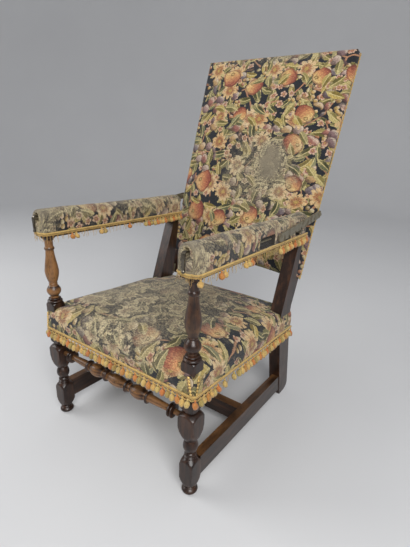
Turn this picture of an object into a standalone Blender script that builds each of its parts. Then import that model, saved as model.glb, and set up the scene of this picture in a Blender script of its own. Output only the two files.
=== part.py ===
"""Reclining armchair in the seventeenth-century manner, built as separate solids in metres.

+Z is up, the sitter faces -Y and +X is the sitter's left. Heights are measured from the floor.
Depths are laid out from the point midway between the front and rear legs, and the whole chair
is then moved so that its origin lies under the middle of its box.
"""
import math

import bmesh
import bpy
from mathutils import Matrix, Vector

# Fits
GAP = 0.0003
PIN_CLEARANCE = 0.0004
RUNNING_CLEARANCE = 0.0012
CUT_BEYOND = 0.010

# Legs in plan
LEG_HALF_SPACING = 0.2855
LEG_DEPTH_SPACING = 0.587
FRONT_Y = -LEG_DEPTH_SPACING / 2

# Front posts, from the floor up; a quirk is the small step between two turned members
TURNING_SIDES = 16
QUIRK = 0.0006
FOOT_HEIGHT = 0.026
FOOT_RADIUS = 0.0235
FOOT_NECK_RADIUS = 0.0165
FOOT_RING_HEIGHT = 0.007
LOWER_BLOCK = 0.045
LOWER_BLOCK_HEIGHT = 0.099
LOWER_BLOCK_FOOT = 0.032
LOWER_BLOCK_HEAD = 0.022
COLLAR_RADIUS = 0.0185
COLLAR_NECK_RADIUS = 0.0155
COLLAR_HEIGHT = 0.0080
BULB_RADIUS = 0.0215
UPPER_BLOCK = 0.053
UPPER_BLOCK_HEIGHT = 0.090
UPPER_BLOCK_FOOT = 0.047
UPPER_BLOCK_HEAD = 0.017
POST_SQUARE = 0.042
SQUARE_BELOW_SEAT = 0.0495
SQUARE_ABOVE_SEAT = 0.0995
SQUARE_FOOT = 0.006
SQUARE_HEAD = 0.0095
PLINTH_RING_RADIUS = 0.024
PLINTH_RING_HEIGHT = 0.010
SMALL_RING_RADIUS = 0.0195
SMALL_RING_HEIGHT = 0.008
POST_NECK_RADIUS = 0.0125
POST_NECK_HEIGHT = 0.004
BALL_RADIUS = 0.0224
BALL_HEIGHT = 0.039
FILLET_RADIUS = 0.0138
FILLET_HEIGHT = 0.006
BALUSTER_RADIUS = 0.0217
BALUSTER_NECK_RADIUS = 0.0145
BALUSTER_NECK_HEIGHT = 0.020
ARM_RING_RADIUS = 0.0155
ARM_RING_HEIGHT = 0.013
ARM_NECK_HEIGHT = 0.020
ARM_CUP_RADIUS = 0.021
ARM_CUP_HEIGHT = 0.012
ARM_CUP_LIP = 0.003

# Rear posts: one sawn piece each, kicked back below the seat and raked above it
REAR_POST_WIDTH = 0.044
REAR_FOOT_FRONT = 0.272
REAR_FOOT_DEPTH = 0.072
HEEL_RADIUS = 0.026
KNEE_HEIGHT = 0.360
KNEE_FRONT = 0.197
KNEE_DEPTH = 0.0875
KNEE_RADIUS = 0.090
REAR_POST_TOP_FRONT = 0.3028
REAR_POST_TOP_DEPTH = 0.0292

# Seat frame and stuffing: the lower edge of the cover falls to the rear
SEAT_EDGE_HEIGHT = 0.337
SEAT_FALL = math.tan(math.radians(4.65))
SEAT_RAIL_HEIGHT = 0.062
SEAT_RAIL_THICKNESS = 0.026
SEAT_RAIL_INSET = 0.005
SEAT_RAIL_LIFT = 0.004
WEBBING_THICKNESS = 0.004
SEAT_STUFFING_EDGE = 0.0145
SEAT_CROWN = 0.040
SEAT_EDGE_ROUND = 0.016
SEAT_COVER = 0.003
SEAT_REAR_EDGE = 0.3035

# Plain stretchers
SIDE_STRETCHER_THICKNESS = 0.028
SIDE_STRETCHER_HEIGHT = 0.066
SIDE_STRETCHER_FRONT_TOP = 0.1176
SIDE_STRETCHER_REAR_TOP = 0.0924
SIDE_STRETCHER_OUTSET = 0.0195
CROSS_STRETCHER_THICKNESS = 0.030
CROSS_STRETCHER_HEIGHT = 0.055
CROSS_STRETCHER_TOP = 0.100

# Turned front stretcher, from its middle out
STRETCHER_HEIGHT = 0.250
STRETCHER_SIDES = 14
STRETCHER_BULB_RADIUS = 0.019
STRETCHER_BULB_HALF = 0.038
STRETCHER_WAIST = 0.0115
STRETCHER_RING_RADIUS = 0.0195
STRETCHER_RING_WIDTH = 0.012
STRETCHER_BEAD_RADIUS = 0.0147
STRETCHER_BEAD_WIDTH = 0.008
STRETCHER_BARREL_RADIUS = 0.021
STRETCHER_BARREL_LENGTH = 0.065
STRETCHER_TUBE_RADIUS = 0.0125
STRETCHER_TUBE_END_RADIUS = 0.009
STRETCHER_END_RADIUS = 0.021
STRETCHER_END_WIDTH = 0.010
STRETCHER_PEG_RADIUS = 0.008
STRETCHER_PEG_LENGTH = 0.028

# Arms: the rail falls a little to the rear
ARM_FRONT_HEIGHT = 0.660
ARM_FALL = math.tan(math.radians(1.8))
ARM_OVERHANG = 0.0245
ARM_REAR_END = 0.336
ARM_RAIL_WIDTH = 0.046
ARM_RAIL_HEIGHT = 0.052
ARM_HEAD_HEIGHT = 0.074
ARM_HEAD_LENGTH = 0.046
ARM_HEAD_SLOPE = 0.036
ARM_PAD_WIDTH = 0.060
ARM_PAD_HEIGHT = 0.087
ARM_PAD_LIFT = 0.006
ARM_PAD_FRONT = 0.004
ARM_PAD_SHOULDER = 0.028
ARM_CORNER_LENGTH = 0.013
ARM_CORNER_INSET = 0.007
MOUTH_FRONT = -0.020
MOUTH_LENGTH = 0.095
MOUTH_UP = 0.018
MOUTH_HEIGHT = 0.031

# Back: laid out upright from its hinge line, then tilted
BACK_TILT = math.radians(19.64)
BACK_HEIGHT = 0.957
BACK_HALF_BOTTOM = 0.2994
BACK_HALF_TOP = 0.325
STILE_WIDTH = 0.044
STILE_THICKNESS = 0.026
STILE_FOOT = 0.0025
BACK_RAIL_HEIGHT = 0.050
BACK_MIDDLE_RAIL = 0.480
BACK_PAD_BOTTOM = 0.098
BACK_PAD_ARCH = 0.022
BACK_STUFFING_EDGE = 0.0075
BACK_CROWN = 0.034
BACK_EDGE_ROUND = 0.012
BACK_COVER = 0.004
REAR_CLOTH = 0.003

# Hinges
HINGE_HEIGHT = 0.384
HINGE_WIDTH = 0.028
HINGE_LEAF = 0.0022
HINGE_LEAF_HEIGHT = 0.040
KNUCKLE_RADIUS = 0.005
HINGE_PIN_RADIUS = 0.0022
PIN_SIDES = 16

# Ratchet bars
RATCHET_RISE = 0.0725
RATCHET_TILT = math.radians(4.6)
RATCHET_LENGTH = 0.347
RATCHET_HEIGHT = 0.027
RATCHET_THICKNESS = 0.004
RATCHET_NOSE_RADIUS = 0.018
RATCHET_BROW_RADIUS = 0.006
NOTCH_FIRST = 0.168
NOTCH_STEP = 0.050
NOTCH_COUNT = 3
NOTCH_WIDTH = 0.012
NOTCH_DEPTH = 0.008
BOLT_RADIUS = 0.004
BOLT_COLLAR_RADIUS = 0.008
BOLT_HEAD_RADIUS = 0.009
BOLT_HEAD_HEIGHT = 0.005
BOLT_EMBED = 0.020

# Release levers, push rods and catches in the arms
LEVER_PIVOT_SETBACK = 0.018
LEVER_PIVOT_UP = 0.060
LEVER_BARREL_RADIUS = 0.0055
PIVOT_PIN_RADIUS = 0.0022
LEVER_WIDTH = 0.010
LEVER_TIP_WIDTH = 0.006
LEVER_THICKNESS = 0.004
LEVER_FINGER_GAP = 0.011
LEVER_RISE = 0.0135
LEVER_BEND_RADIUS = 0.005
LEVER_DROP = 0.0365
LEVER_BALL_RADIUS = 0.0048
LEVER_TAIL_WIDTH = 0.006
LEVER_TAIL_BELOW_ROD = 0.002
LEVER_SWING_SPACE = 0.009
LEVER_NECK_SPACE = 0.004
ROD_UP = 0.035
ROD_RADIUS = 0.003
ROD_TIP_RADIUS = 0.0012
ROD_TIP_LENGTH = 0.002
ROD_GROOVE_HEIGHT = 0.0145
ROD_GROOVE_DEPTH = 0.010
POCKET_WALL = 0.0025
CATCH_PIVOT_UP = 0.020
CATCH_PIVOT_AHEAD = 0.028
CATCH_PLATE = 0.006
CATCH_ARM = 0.006
CATCH_EYE_RADIUS = 0.006
CATCH_TOOTH_LENGTH = 0.007
CATCH_TOOTH_HEIGHT = 0.0125
CATCH_TOOTH_TIP = 0.003
CATCH_TOOTH_CLEAR = 0.0014
CATCH_WINDOW_MARGIN = 0.010
CATCH_SWING_SPACE = 0.004

# Gimp and tassel fringe
FRINGE_THICKNESS = 0.0024
GIMP_HEIGHT = 0.012
TASSEL_DROP = 0.028
TASSEL_GAP_DROP = 0.014
TASSEL_PITCH = 0.030

SIDES = (("left", 1), ("right", -1))


def clear_scene():
    """Remove every object, so that the script always starts empty."""
    for obj in list(bpy.data.objects):
        bpy.data.objects.remove(obj, do_unlink=True)


def material(name, colour, roughness, metallic=0.0):
    """A Principled material, made once."""
    mat = bpy.data.materials.get(name)
    if mat is None:
        mat = bpy.data.materials.new(name)
        mat.use_nodes = True
        shader = mat.node_tree.nodes["Principled BSDF"]
        shader.inputs["Base Color"].default_value = (*colour, 1.0)
        shader.inputs["Roughness"].default_value = roughness
        shader.inputs["Metallic"].default_value = metallic
    return mat


def walnut():
    """Waxed dark walnut of the show wood."""
    return material("dark_walnut", (0.050, 0.024, 0.014), 0.38)


def frame_wood():
    """Plain wood of the rails under the covers."""
    return material("frame_beech", (0.230, 0.140, 0.075), 0.7)


def iron():
    """Forged iron of the hinges and the ratchet work."""
    return material("wrought_iron", (0.130, 0.125, 0.105), 0.45, 0.9)


def tapestry():
    """Floral tapestry of the covers."""
    return material("floral_tapestry", (0.170, 0.140, 0.080), 0.9)


def linen():
    """Plain linen of the webbing and the rear cloth."""
    return material("backing_linen", (0.300, 0.240, 0.160), 0.95)


def gold_trim():
    """Gold-coloured gimp and tassels."""
    return material("gold_trim", (0.520, 0.280, 0.060), 0.8)


def empty(name, parent, location=(0, 0, 0), tilt=0.0):
    """A parent frame at a joint or layout point, turned about X."""
    obj = bpy.data.objects.new(name, None)
    obj.location = location
    obj.rotation_euler = (tilt, 0, 0)
    obj.parent = parent
    bpy.context.scene.collection.objects.link(obj)
    return obj


def solid(name, bm, mat, parent):
    """Turn a bmesh into a named object with outward faces and its sharp edges kept."""
    bmesh.ops.recalc_face_normals(bm, faces=bm.faces)
    mesh = bpy.data.meshes.new(name)
    bm.to_mesh(mesh)
    bm.free()
    mesh.shade_smooth()
    mesh.set_sharp_from_angle(angle=math.radians(35))
    obj = bpy.data.objects.new(name, mesh)
    obj.parent = parent
    bpy.context.scene.collection.objects.link(obj)
    if mat is not None:
        mesh.materials.append(mat)
    return obj


def combine(obj, name, bm, operation):
    """Add or take away a bmesh that is given in the object's parent frame."""
    tool = solid(name, bm, None, obj.parent)
    tool.hide_render = True
    tool.display_type = "WIRE"
    modifier = obj.modifiers.new(name, "BOOLEAN")
    modifier.operation = operation
    modifier.solver = "EXACT"
    modifier.object = tool


def cut(obj, name, bm):
    combine(obj, name, bm, "DIFFERENCE")


def join(obj, name, bm):
    combine(obj, name, bm, "UNION")


def loft(rings):
    """Bridge equal rings of points into a closed skin."""
    bm = bmesh.new()
    loops = [[bm.verts.new(p) for p in ring] for ring in rings]
    count = len(rings[0])
    for lower, upper in zip(loops, loops[1:]):
        for i in range(count):
            j = (i + 1) % count
            bm.faces.new((lower[i], lower[j], upper[j], upper[i]))
    bm.faces.new(loops[0])
    bm.faces.new(loops[-1])
    return bm


def prism_x(outline, x0, x1):
    """A (y, z) outline extruded along X."""
    return loft([[(x, y, z) for y, z in outline] for x in (x0, x1)])


def prism_y(outline, y0, y1):
    """An (x, z) outline extruded along Y."""
    return loft([[(x, y, z) for x, z in outline] for y in (y0, y1)])


def block(low, high):
    """A rectangular block between two corners."""
    (x0, y0, z0), (x1, y1, z1) = low, high
    return prism_x([(y0, z0), (y1, z0), (y1, z1), (y0, z1)], x0, x1)


def circle(radius, sides):
    """Points round a circle."""
    step = 2 * math.pi / sides
    return [(radius * math.cos(i * step), radius * math.sin(i * step)) for i in range(sides)]


def bar_x(x0, x1, y, z, radius):
    """A round bar along X."""
    ring = circle(radius, PIN_SIDES)
    return loft([[(x, y + a, z + b) for a, b in ring] for x in (x0, x1)])


def rounded(corners, steps=6):
    """An outline of (a, b, radius) corners, with each corner that has a radius turned into an arc."""
    points = []
    for i, (a, b, radius) in enumerate(corners):
        here = Vector((a, b))
        if radius == 0:
            points.append((a, b))
            continue
        before = (Vector(corners[i - 1][:2]) - here).normalized()
        after = (Vector(corners[(i + 1) % len(corners)][:2]) - here).normalized()
        half = before.angle(after) / 2
        reach = radius / math.tan(half)
        centre = here + (before + after).normalized() * radius / math.sin(half)
        first = here + before * reach - centre
        turn = first.angle_signed(here + after * reach - centre)
        for k in range(steps + 1):
            spoke = first.copy()
            spoke.rotate(Matrix.Rotation(-turn * k / steps, 2))
            points.append(tuple(centre + spoke))
    return points


def bulge(z0, z1, base, peak, steps, skew=0.5):
    """Rings of a bead or barrel between two heights, widest at the skew share of the way."""
    rings = []
    for i in range(steps + 1):
        t = i / steps
        warped = 0.5 * t / skew if t < skew else 0.5 + 0.5 * (t - skew) / (1 - skew)
        rings.append((z0 + (z1 - z0) * t, base + (peak - base) * math.sin(math.pi * warped)))
    return rings


def round_rings(rings):
    """Rings of a fully round stretch, with no square left."""
    return [(z, r, None) for z, r in rings]


def shouldered(z0, z1, side, foot, head, foot_length, head_length, steps=4):
    """A square block whose shoulders are turned down to a foot and a head radius."""
    corner = side / math.sqrt(2)
    rings = []
    for i in range(steps + 1):
        swing = math.sin(math.pi / 2 * i / steps)
        rings.append((z0 + foot_length * i / steps, foot + (corner - foot) * swing, side))
    for i in range(steps + 1):
        swing = math.cos(math.pi / 2 * i / steps)
        rings.append((z1 - head_length * (1 - i / steps), head + (corner - head) * swing, side))
    return rings


def turned(rings, sides, place):
    """A turned piece; rings hold (height, radius, side of the square blank or None)."""
    skin = []
    for height, radius, square in rings:
        ring = []
        for c, s in circle(1.0, sides):
            reach = radius
            if square is not None:
                reach = min(radius, square / 2 / max(abs(c), abs(s)))
            ring.append(place(reach * c, reach * s, height))
        skin.append(ring)
    return loft(skin)


def seat_edge(y):
    """Height of the seat cover's lower edge at a depth."""
    return SEAT_EDGE_HEIGHT - SEAT_FALL * (y - FRONT_Y)


def seat_rail_bottom(y):
    return seat_edge(y) + SEAT_RAIL_LIFT


def seat_rail_top(y):
    return seat_rail_bottom(y) + SEAT_RAIL_HEIGHT


def webbing_top(y):
    return seat_rail_top(y) + GAP + WEBBING_THICKNESS


def arm_under(y):
    """Height of the arm rail's underside at a depth."""
    return ARM_FRONT_HEIGHT - ARM_FALL * (y - FRONT_Y)


def arm_line(*points):
    """(depth, height above the arm's underside) pairs as (y, z)."""
    return [(y, arm_under(y) + up) for y, up in points]


def arm_box(y0, y1, low, high):
    """Side outline of a space in an arm, between two depths and two heights above its underside."""
    return arm_line((y0, low), (y1, low), (y1, high), (y0, high))


def leg_face(z):
    """Depth of the straight lower front face of a rear post."""
    return REAR_FOOT_FRONT + (KNEE_FRONT - REAR_FOOT_FRONT) * z / KNEE_HEIGHT


def rear_post_rake():
    """Lean of the upper rear face of a rear post."""
    top = REAR_POST_TOP_FRONT + REAR_POST_TOP_DEPTH
    return math.atan2(top - KNEE_FRONT - KNEE_DEPTH, arm_under(top) - KNEE_HEIGHT)


def hinge_depth():
    """Depth of the hinge line: the knuckles touch the upper rear face of the rear posts."""
    rake = rear_post_rake()
    face = KNEE_FRONT + KNEE_DEPTH + (HINGE_HEIGHT - KNEE_HEIGHT) * math.tan(rake)
    return face + (KNUCKLE_RADIUS + GAP) / math.cos(rake)


def front_leg_rings():
    """The front post below the seat: bun foot, shouldered block, collar, bulb and shouldered block."""
    block_top = FOOT_HEIGHT + LOWER_BLOCK_HEIGHT
    bulb_low = block_top + COLLAR_HEIGHT
    square_low = SEAT_EDGE_HEIGHT - SQUARE_BELOW_SEAT
    upper_top = square_low - COLLAR_HEIGHT
    upper_low = upper_top - UPPER_BLOCK_HEIGHT
    bun_top = FOOT_HEIGHT - FOOT_RING_HEIGHT
    rings = round_rings(bulge(0.0, bun_top, FOOT_NECK_RADIUS, FOOT_RADIUS, 4))
    rings += round_rings(bulge(bun_top + QUIRK, FOOT_HEIGHT - QUIRK, FOOT_NECK_RADIUS, COLLAR_RADIUS, 2))
    rings += shouldered(
        FOOT_HEIGHT, block_top, LOWER_BLOCK, FOOT_NECK_RADIUS, COLLAR_NECK_RADIUS,
        LOWER_BLOCK_FOOT, LOWER_BLOCK_HEAD,
    )
    rings += round_rings(bulge(block_top + QUIRK, bulb_low - QUIRK, COLLAR_NECK_RADIUS, COLLAR_RADIUS, 2))
    rings += round_rings(bulge(bulb_low, upper_low - QUIRK, COLLAR_NECK_RADIUS, BULB_RADIUS, 7, 0.62))
    rings += shouldered(
        upper_low, upper_top, UPPER_BLOCK, COLLAR_RADIUS, COLLAR_RADIUS, UPPER_BLOCK_FOOT, UPPER_BLOCK_HEAD
    )
    rings += round_rings(bulge(upper_top + QUIRK, square_low - QUIRK, COLLAR_NECK_RADIUS, COLLAR_RADIUS, 2))
    return rings


def arm_support_rings():
    """The front post from the seat up: square, rings, ball, baluster and the cup under the arm."""
    square_low = SEAT_EDGE_HEIGHT - SQUARE_BELOW_SEAT
    square_top = SEAT_EDGE_HEIGHT + SQUARE_ABOVE_SEAT
    rings = shouldered(
        square_low, square_top, POST_SQUARE, COLLAR_RADIUS, PLINTH_RING_RADIUS, SQUARE_FOOT, SQUARE_HEAD, 2
    )
    z = square_top + PLINTH_RING_HEIGHT
    rings += round_rings(bulge(square_top + QUIRK, z, SMALL_RING_RADIUS, PLINTH_RING_RADIUS, 3))
    rings += round_rings(bulge(z + QUIRK, z + SMALL_RING_HEIGHT, POST_NECK_RADIUS, SMALL_RING_RADIUS, 3))
    z += SMALL_RING_HEIGHT + POST_NECK_HEIGHT
    rings += round_rings(bulge(z, z + BALL_HEIGHT, POST_NECK_RADIUS, BALL_RADIUS, 7))
    z += BALL_HEIGHT + QUIRK
    rings += round_rings(bulge(z, z + FILLET_HEIGHT, POST_NECK_RADIUS, FILLET_RADIUS, 2))
    z += FILLET_HEIGHT + QUIRK

    top = arm_under(FRONT_Y + ARM_CUP_RADIUS) - GAP
    cup_low = top - ARM_CUP_HEIGHT
    ring_low = cup_low - ARM_NECK_HEIGHT - ARM_RING_HEIGHT
    swell_top = ring_low - BALUSTER_NECK_HEIGHT
    swell_middle = z + (swell_top - z) * 0.45
    rings += round_rings(bulge(z, 2 * swell_middle - z, POST_NECK_RADIUS, BALUSTER_RADIUS, 8)[:5])
    rings += round_rings([
        (swell_middle + (swell_top - swell_middle) * 0.55, (BALUSTER_RADIUS + BALUSTER_NECK_RADIUS) / 2),
        (swell_top, BALUSTER_NECK_RADIUS),
        (ring_low - QUIRK, POST_NECK_RADIUS),
    ])
    rings += round_rings(bulge(ring_low, ring_low + ARM_RING_HEIGHT, POST_NECK_RADIUS, ARM_RING_RADIUS, 4))
    rings += round_rings([
        (cup_low, POST_NECK_RADIUS),
        (cup_low + QUIRK, FILLET_RADIUS),
        (cup_low + ARM_CUP_HEIGHT / 2, ARM_CUP_RADIUS - ARM_CUP_LIP),
        (top - ARM_CUP_LIP, ARM_CUP_RADIUS),
        (top, ARM_CUP_RADIUS),
    ])
    return rings


def front_posts(chair):
    """Front legs and arm supports, each one turned piece."""
    rings = front_leg_rings() + arm_support_rings()
    for name, side in SIDES:
        x = side * LEG_HALF_SPACING
        bm = turned(rings, TURNING_SIDES, lambda a, b, z: (x + a, FRONT_Y + b, z))
        solid(f"front_post_{name}", bm, walnut(), chair)


def rear_posts(chair):
    """Rear legs and arm supports: rounded heel, curved knee and a tapered raked top under the arm."""
    top_rear = REAR_POST_TOP_FRONT + REAR_POST_TOP_DEPTH
    outline = rounded([
        (REAR_FOOT_FRONT, 0.0, 0),
        (REAR_FOOT_FRONT + REAR_FOOT_DEPTH, 0.0, HEEL_RADIUS),
        (KNEE_FRONT + KNEE_DEPTH, KNEE_HEIGHT, KNEE_RADIUS),
        (top_rear, arm_under(top_rear) - GAP, 0),
        (REAR_POST_TOP_FRONT, arm_under(REAR_POST_TOP_FRONT) - GAP, 0),
        (KNEE_FRONT, KNEE_HEIGHT, KNEE_RADIUS),
    ])
    for name, side in SIDES:
        x = side * LEG_HALF_SPACING
        bm = prism_x(outline, x - REAR_POST_WIDTH / 2, x + REAR_POST_WIDTH / 2)
        solid(f"rear_post_{name}", bm, walnut(), chair)


def sloped(y0, y1, bottom, top):
    """Side outline between two depths that follows sloping lower and upper edges."""
    return [(y0, bottom(y0)), (y1, bottom(y1)), (y1, top(y1)), (y0, top(y0))]


def front_rail_face():
    """Depth of the front seat rail's front face."""
    return FRONT_Y - POST_SQUARE / 2 + SEAT_RAIL_INSET


def rear_rail_face():
    """Depth of the rear seat rail's front face, in the middle of the rear posts' knees."""
    return KNEE_FRONT + (KNEE_DEPTH - SEAT_RAIL_THICKNESS) / 2


def seat_rails(chair):
    """Four rails between the posts."""
    half = LEG_HALF_SPACING - POST_SQUARE / 2 - GAP
    y = front_rail_face()
    outline = sloped(y, y + SEAT_RAIL_THICKNESS, seat_rail_bottom, seat_rail_top)
    solid("seat_rail_front", prism_x(outline, -half, half), frame_wood(), chair)

    half = LEG_HALF_SPACING - REAR_POST_WIDTH / 2 - GAP
    y = rear_rail_face()
    outline = sloped(y, y + SEAT_RAIL_THICKNESS, seat_rail_bottom, seat_rail_top)
    solid("seat_rail_rear", prism_x(outline, -half, half), frame_wood(), chair)

    start = FRONT_Y + POST_SQUARE / 2 + GAP
    knee = KNEE_FRONT - GAP
    low_end = leg_face(seat_rail_bottom(knee)) - GAP
    outline = [
        (start, seat_rail_bottom(start)),
        (low_end, seat_rail_bottom(low_end)),
        (knee, KNEE_HEIGHT),
        (knee, seat_rail_top(knee)),
        (start, seat_rail_top(start)),
    ]
    outer = LEG_HALF_SPACING + POST_SQUARE / 2 - SEAT_RAIL_INSET
    for name, side in SIDES:
        bm = prism_x(outline, side * outer, side * (outer - SEAT_RAIL_THICKNESS))
        solid(f"seat_rail_{name}", bm, frame_wood(), chair)


def seat_webbing(chair):
    """The webbing and sackcloth panel on the front and rear rails."""
    half = LEG_HALF_SPACING - REAR_POST_WIDTH / 2 - 2 * GAP
    y1 = rear_rail_face() + SEAT_RAIL_THICKNESS
    outline = sloped(front_rail_face(), y1, lambda y: seat_rail_top(y) + GAP, webbing_top)
    solid("seat_webbing", prism_x(outline, -half, half), linen(), chair)


def shares(length, edge, count):
    """Shares from -1 to 1 along a length, with one more step inside each rounded edge."""
    steps = [0.0, edge * 0.3]
    steps += [edge + (length - 2 * edge) * i / count for i in range(count + 1)]
    steps += [length - edge * 0.3, length]
    return [2 * step / length - 1 for step in steps]


def edge_drop(distance, radius):
    """How far a rounded edge has fallen at a distance in from it."""
    inside = min(max(distance, 0.0), radius)
    return radius - math.sqrt(radius ** 2 - (radius - inside) ** 2)


def cushion(rows, feet):
    """A closed solid between a grid of points and the rim of a matching foot grid."""
    bm = bmesh.new()
    top = [[bm.verts.new(p) for p in row] for row in rows]
    last_row, last = len(rows) - 1, len(rows[0]) - 1
    for i in range(last_row):
        for j in range(last):
            bm.faces.new((top[i][j], top[i][j + 1], top[i + 1][j + 1], top[i + 1][j]))
    bmesh.ops.triangulate(bm, faces=bm.faces)
    rim = [(0, j) for j in range(last)] + [(i, last) for i in range(last_row)]
    rim += [(last_row, j) for j in range(last, 0, -1)] + [(i, 0) for i in range(last_row, 0, -1)]
    foot = [bm.verts.new(feet[i][j]) for i, j in rim]
    for k, (i, j) in enumerate(rim):
        n = (k + 1) % len(rim)
        a, b = rim[n]
        bm.faces.new((top[i][j], top[a][b], foot[n], foot[k]))
    bm.faces.new(foot)
    return bm


def seat_half():
    """Half width over the seat cover, which wraps outside the posts."""
    return LEG_HALF_SPACING + REAR_POST_WIDTH / 2 + GAP + SEAT_COVER


def seat_front():
    """Depth of the seat cover's front face."""
    return FRONT_Y - POST_SQUARE / 2 - GAP - SEAT_COVER


def seat_pad(chair):
    """The stuffed seat: a domed top whose cover wraps down outside the rails and posts."""
    half, front, rear = seat_half(), seat_front(), SEAT_REAR_EDGE
    rows, feet = [], []
    for v in shares(rear - front, SEAT_EDGE_ROUND, 10):
        y = front + (rear - front) * (v + 1) / 2
        row, foot = [], []
        for u in shares(2 * half, SEAT_EDGE_ROUND, 10):
            x = half * u
            near = min(half - abs(x), y - front, rear - y)
            crown = SEAT_CROWN * (1 - abs(u) ** 2.4) * (1 - abs(v) ** 2.4)
            z = webbing_top(y) + SEAT_STUFFING_EDGE + crown - edge_drop(near, SEAT_EDGE_ROUND)
            row.append((x, y, z))
            foot.append((x, y, seat_edge(y)))
        rows.append(row)
        feet.append(foot)
    pad = solid("seat_pad", cushion(rows, feet), tapestry(), chair)

    inner = half - SEAT_COVER
    outline = sloped(
        front + SEAT_COVER,
        rear - SEAT_COVER,
        lambda y: seat_edge(y) - CUT_BEYOND,
        lambda y: webbing_top(y) + GAP,
    )
    cut(pad, "seat_frame_space", prism_x(outline, -inner, inner))
    high = webbing_top(FRONT_Y) + SEAT_CROWN
    low = seat_edge(rear) - CUT_BEYOND
    for name, side in SIDES:
        x = side * LEG_HALF_SPACING
        reach = POST_SQUARE / 2 + GAP / 2
        bm = block((x - reach, FRONT_Y - reach, low), (x + reach, FRONT_Y + reach, high))
        cut(pad, f"front_post_space_{name}", bm)
        reach = REAR_POST_WIDTH / 2 + GAP / 2
        bm = block((x - reach, KNEE_FRONT - GAP, low), (x + reach, rear + CUT_BEYOND, high))
        cut(pad, f"rear_post_space_{name}", bm)


def side_stretchers(chair):
    """Plain rectangular stretchers that fall to the rear."""
    front = FRONT_Y + LOWER_BLOCK / 2 + GAP
    low_rear = SIDE_STRETCHER_REAR_TOP - SIDE_STRETCHER_HEIGHT
    outline = [
        (front, SIDE_STRETCHER_FRONT_TOP - SIDE_STRETCHER_HEIGHT),
        (leg_face(low_rear) - GAP, low_rear),
        (leg_face(SIDE_STRETCHER_REAR_TOP) - GAP, SIDE_STRETCHER_REAR_TOP),
        (front, SIDE_STRETCHER_FRONT_TOP),
    ]
    outer = LEG_HALF_SPACING + SIDE_STRETCHER_OUTSET
    for name, side in SIDES:
        bm = prism_x(outline, side * outer, side * (outer - SIDE_STRETCHER_THICKNESS))
        solid(f"side_stretcher_{name}", bm, walnut(), chair)


def cross_stretcher(chair):
    """The middle bar of the H, between the side stretchers."""
    half = LEG_HALF_SPACING + SIDE_STRETCHER_OUTSET - SIDE_STRETCHER_THICKNESS - GAP
    thick = CROSS_STRETCHER_THICKNESS / 2
    low = CROSS_STRETCHER_TOP - CROSS_STRETCHER_HEIGHT
    bm = block((-half, -thick, low), (half, thick, CROSS_STRETCHER_TOP))
    solid("cross_stretcher", bm, walnut(), chair)


def front_stretcher_rings():
    """Half of the front stretcher: bulb, ring, bead, barrel, ring, tube, double end ring and peg."""
    end = LEG_HALF_SPACING - UPPER_BLOCK / 2 - GAP
    rings = bulge(-STRETCHER_BULB_HALF, STRETCHER_BULB_HALF, STRETCHER_WAIST, STRETCHER_BULB_RADIUS, 8)[4:]
    x = STRETCHER_BULB_HALF + QUIRK
    rings += bulge(x, x + STRETCHER_RING_WIDTH, STRETCHER_WAIST, STRETCHER_RING_RADIUS, 3)
    x += STRETCHER_RING_WIDTH + STRETCHER_BEAD_WIDTH / 2
    rings += bulge(x, x + STRETCHER_BEAD_WIDTH, STRETCHER_WAIST, STRETCHER_BEAD_RADIUS, 2)
    x += STRETCHER_BEAD_WIDTH + QUIRK
    rings += bulge(x, x + STRETCHER_BARREL_LENGTH, STRETCHER_WAIST, STRETCHER_BARREL_RADIUS, 7)
    x += STRETCHER_BARREL_LENGTH + QUIRK
    rings += bulge(x, x + STRETCHER_RING_WIDTH, STRETCHER_BEAD_RADIUS, STRETCHER_RING_RADIUS, 3)
    x += STRETCHER_RING_WIDTH + QUIRK
    end_ring = end - STRETCHER_PEG_LENGTH - 2 * STRETCHER_END_WIDTH
    rings += [(x, STRETCHER_TUBE_RADIUS), (end_ring - QUIRK, STRETCHER_TUBE_END_RADIUS)]
    for k in range(2):
        x = end_ring + k * STRETCHER_END_WIDTH
        rings += bulge(x, x + STRETCHER_END_WIDTH - QUIRK, STRETCHER_BEAD_RADIUS, STRETCHER_END_RADIUS, 3)
    rings += [(end - STRETCHER_PEG_LENGTH, STRETCHER_PEG_RADIUS), (end, STRETCHER_PEG_RADIUS)]
    return rings


def front_stretcher(chair):
    """The turned front stretcher, alike on both sides of its middle."""
    half = front_stretcher_rings()
    rings = [(-x, r) for x, r in reversed(half[1:])] + half
    bm = turned(round_rings(rings), STRETCHER_SIDES, lambda a, b, x: (x, FRONT_Y + a, STRETCHER_HEIGHT + b))
    solid("front_stretcher", bm, walnut(), chair)


def arm_front():
    """Depth of the arm rail's front end."""
    return FRONT_Y - ARM_OVERHANG


def arm_inner():
    return LEG_HALF_SPACING - ARM_RAIL_WIDTH / 2


def arm_outer():
    return LEG_HALF_SPACING + ARM_RAIL_WIDTH / 2


def lever_pivot():
    """(depth, height) of the release lever's pin."""
    y = arm_front() + LEVER_PIVOT_SETBACK
    return y, arm_under(y) + LEVER_PIVOT_UP


def rod_line():
    """Distance of the push rods from the middle plane."""
    return arm_outer() - ROD_GROOVE_DEPTH + RUNNING_CLEARANCE / 2 + ROD_RADIUS


def ratchet_pivot():
    """(depth, height) of the ratchet bar's bolt in the back's own frame, above the line of the arms."""
    y = stile_front() + STILE_THICKNESS / 2
    c, s = math.cos(BACK_TILT), math.sin(BACK_TILT)
    level = arm_under(hinge_depth() + y * c) + RATCHET_RISE
    return y, (level - HINGE_HEIGHT + y * s) / (c + ARM_FALL * s)


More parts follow.
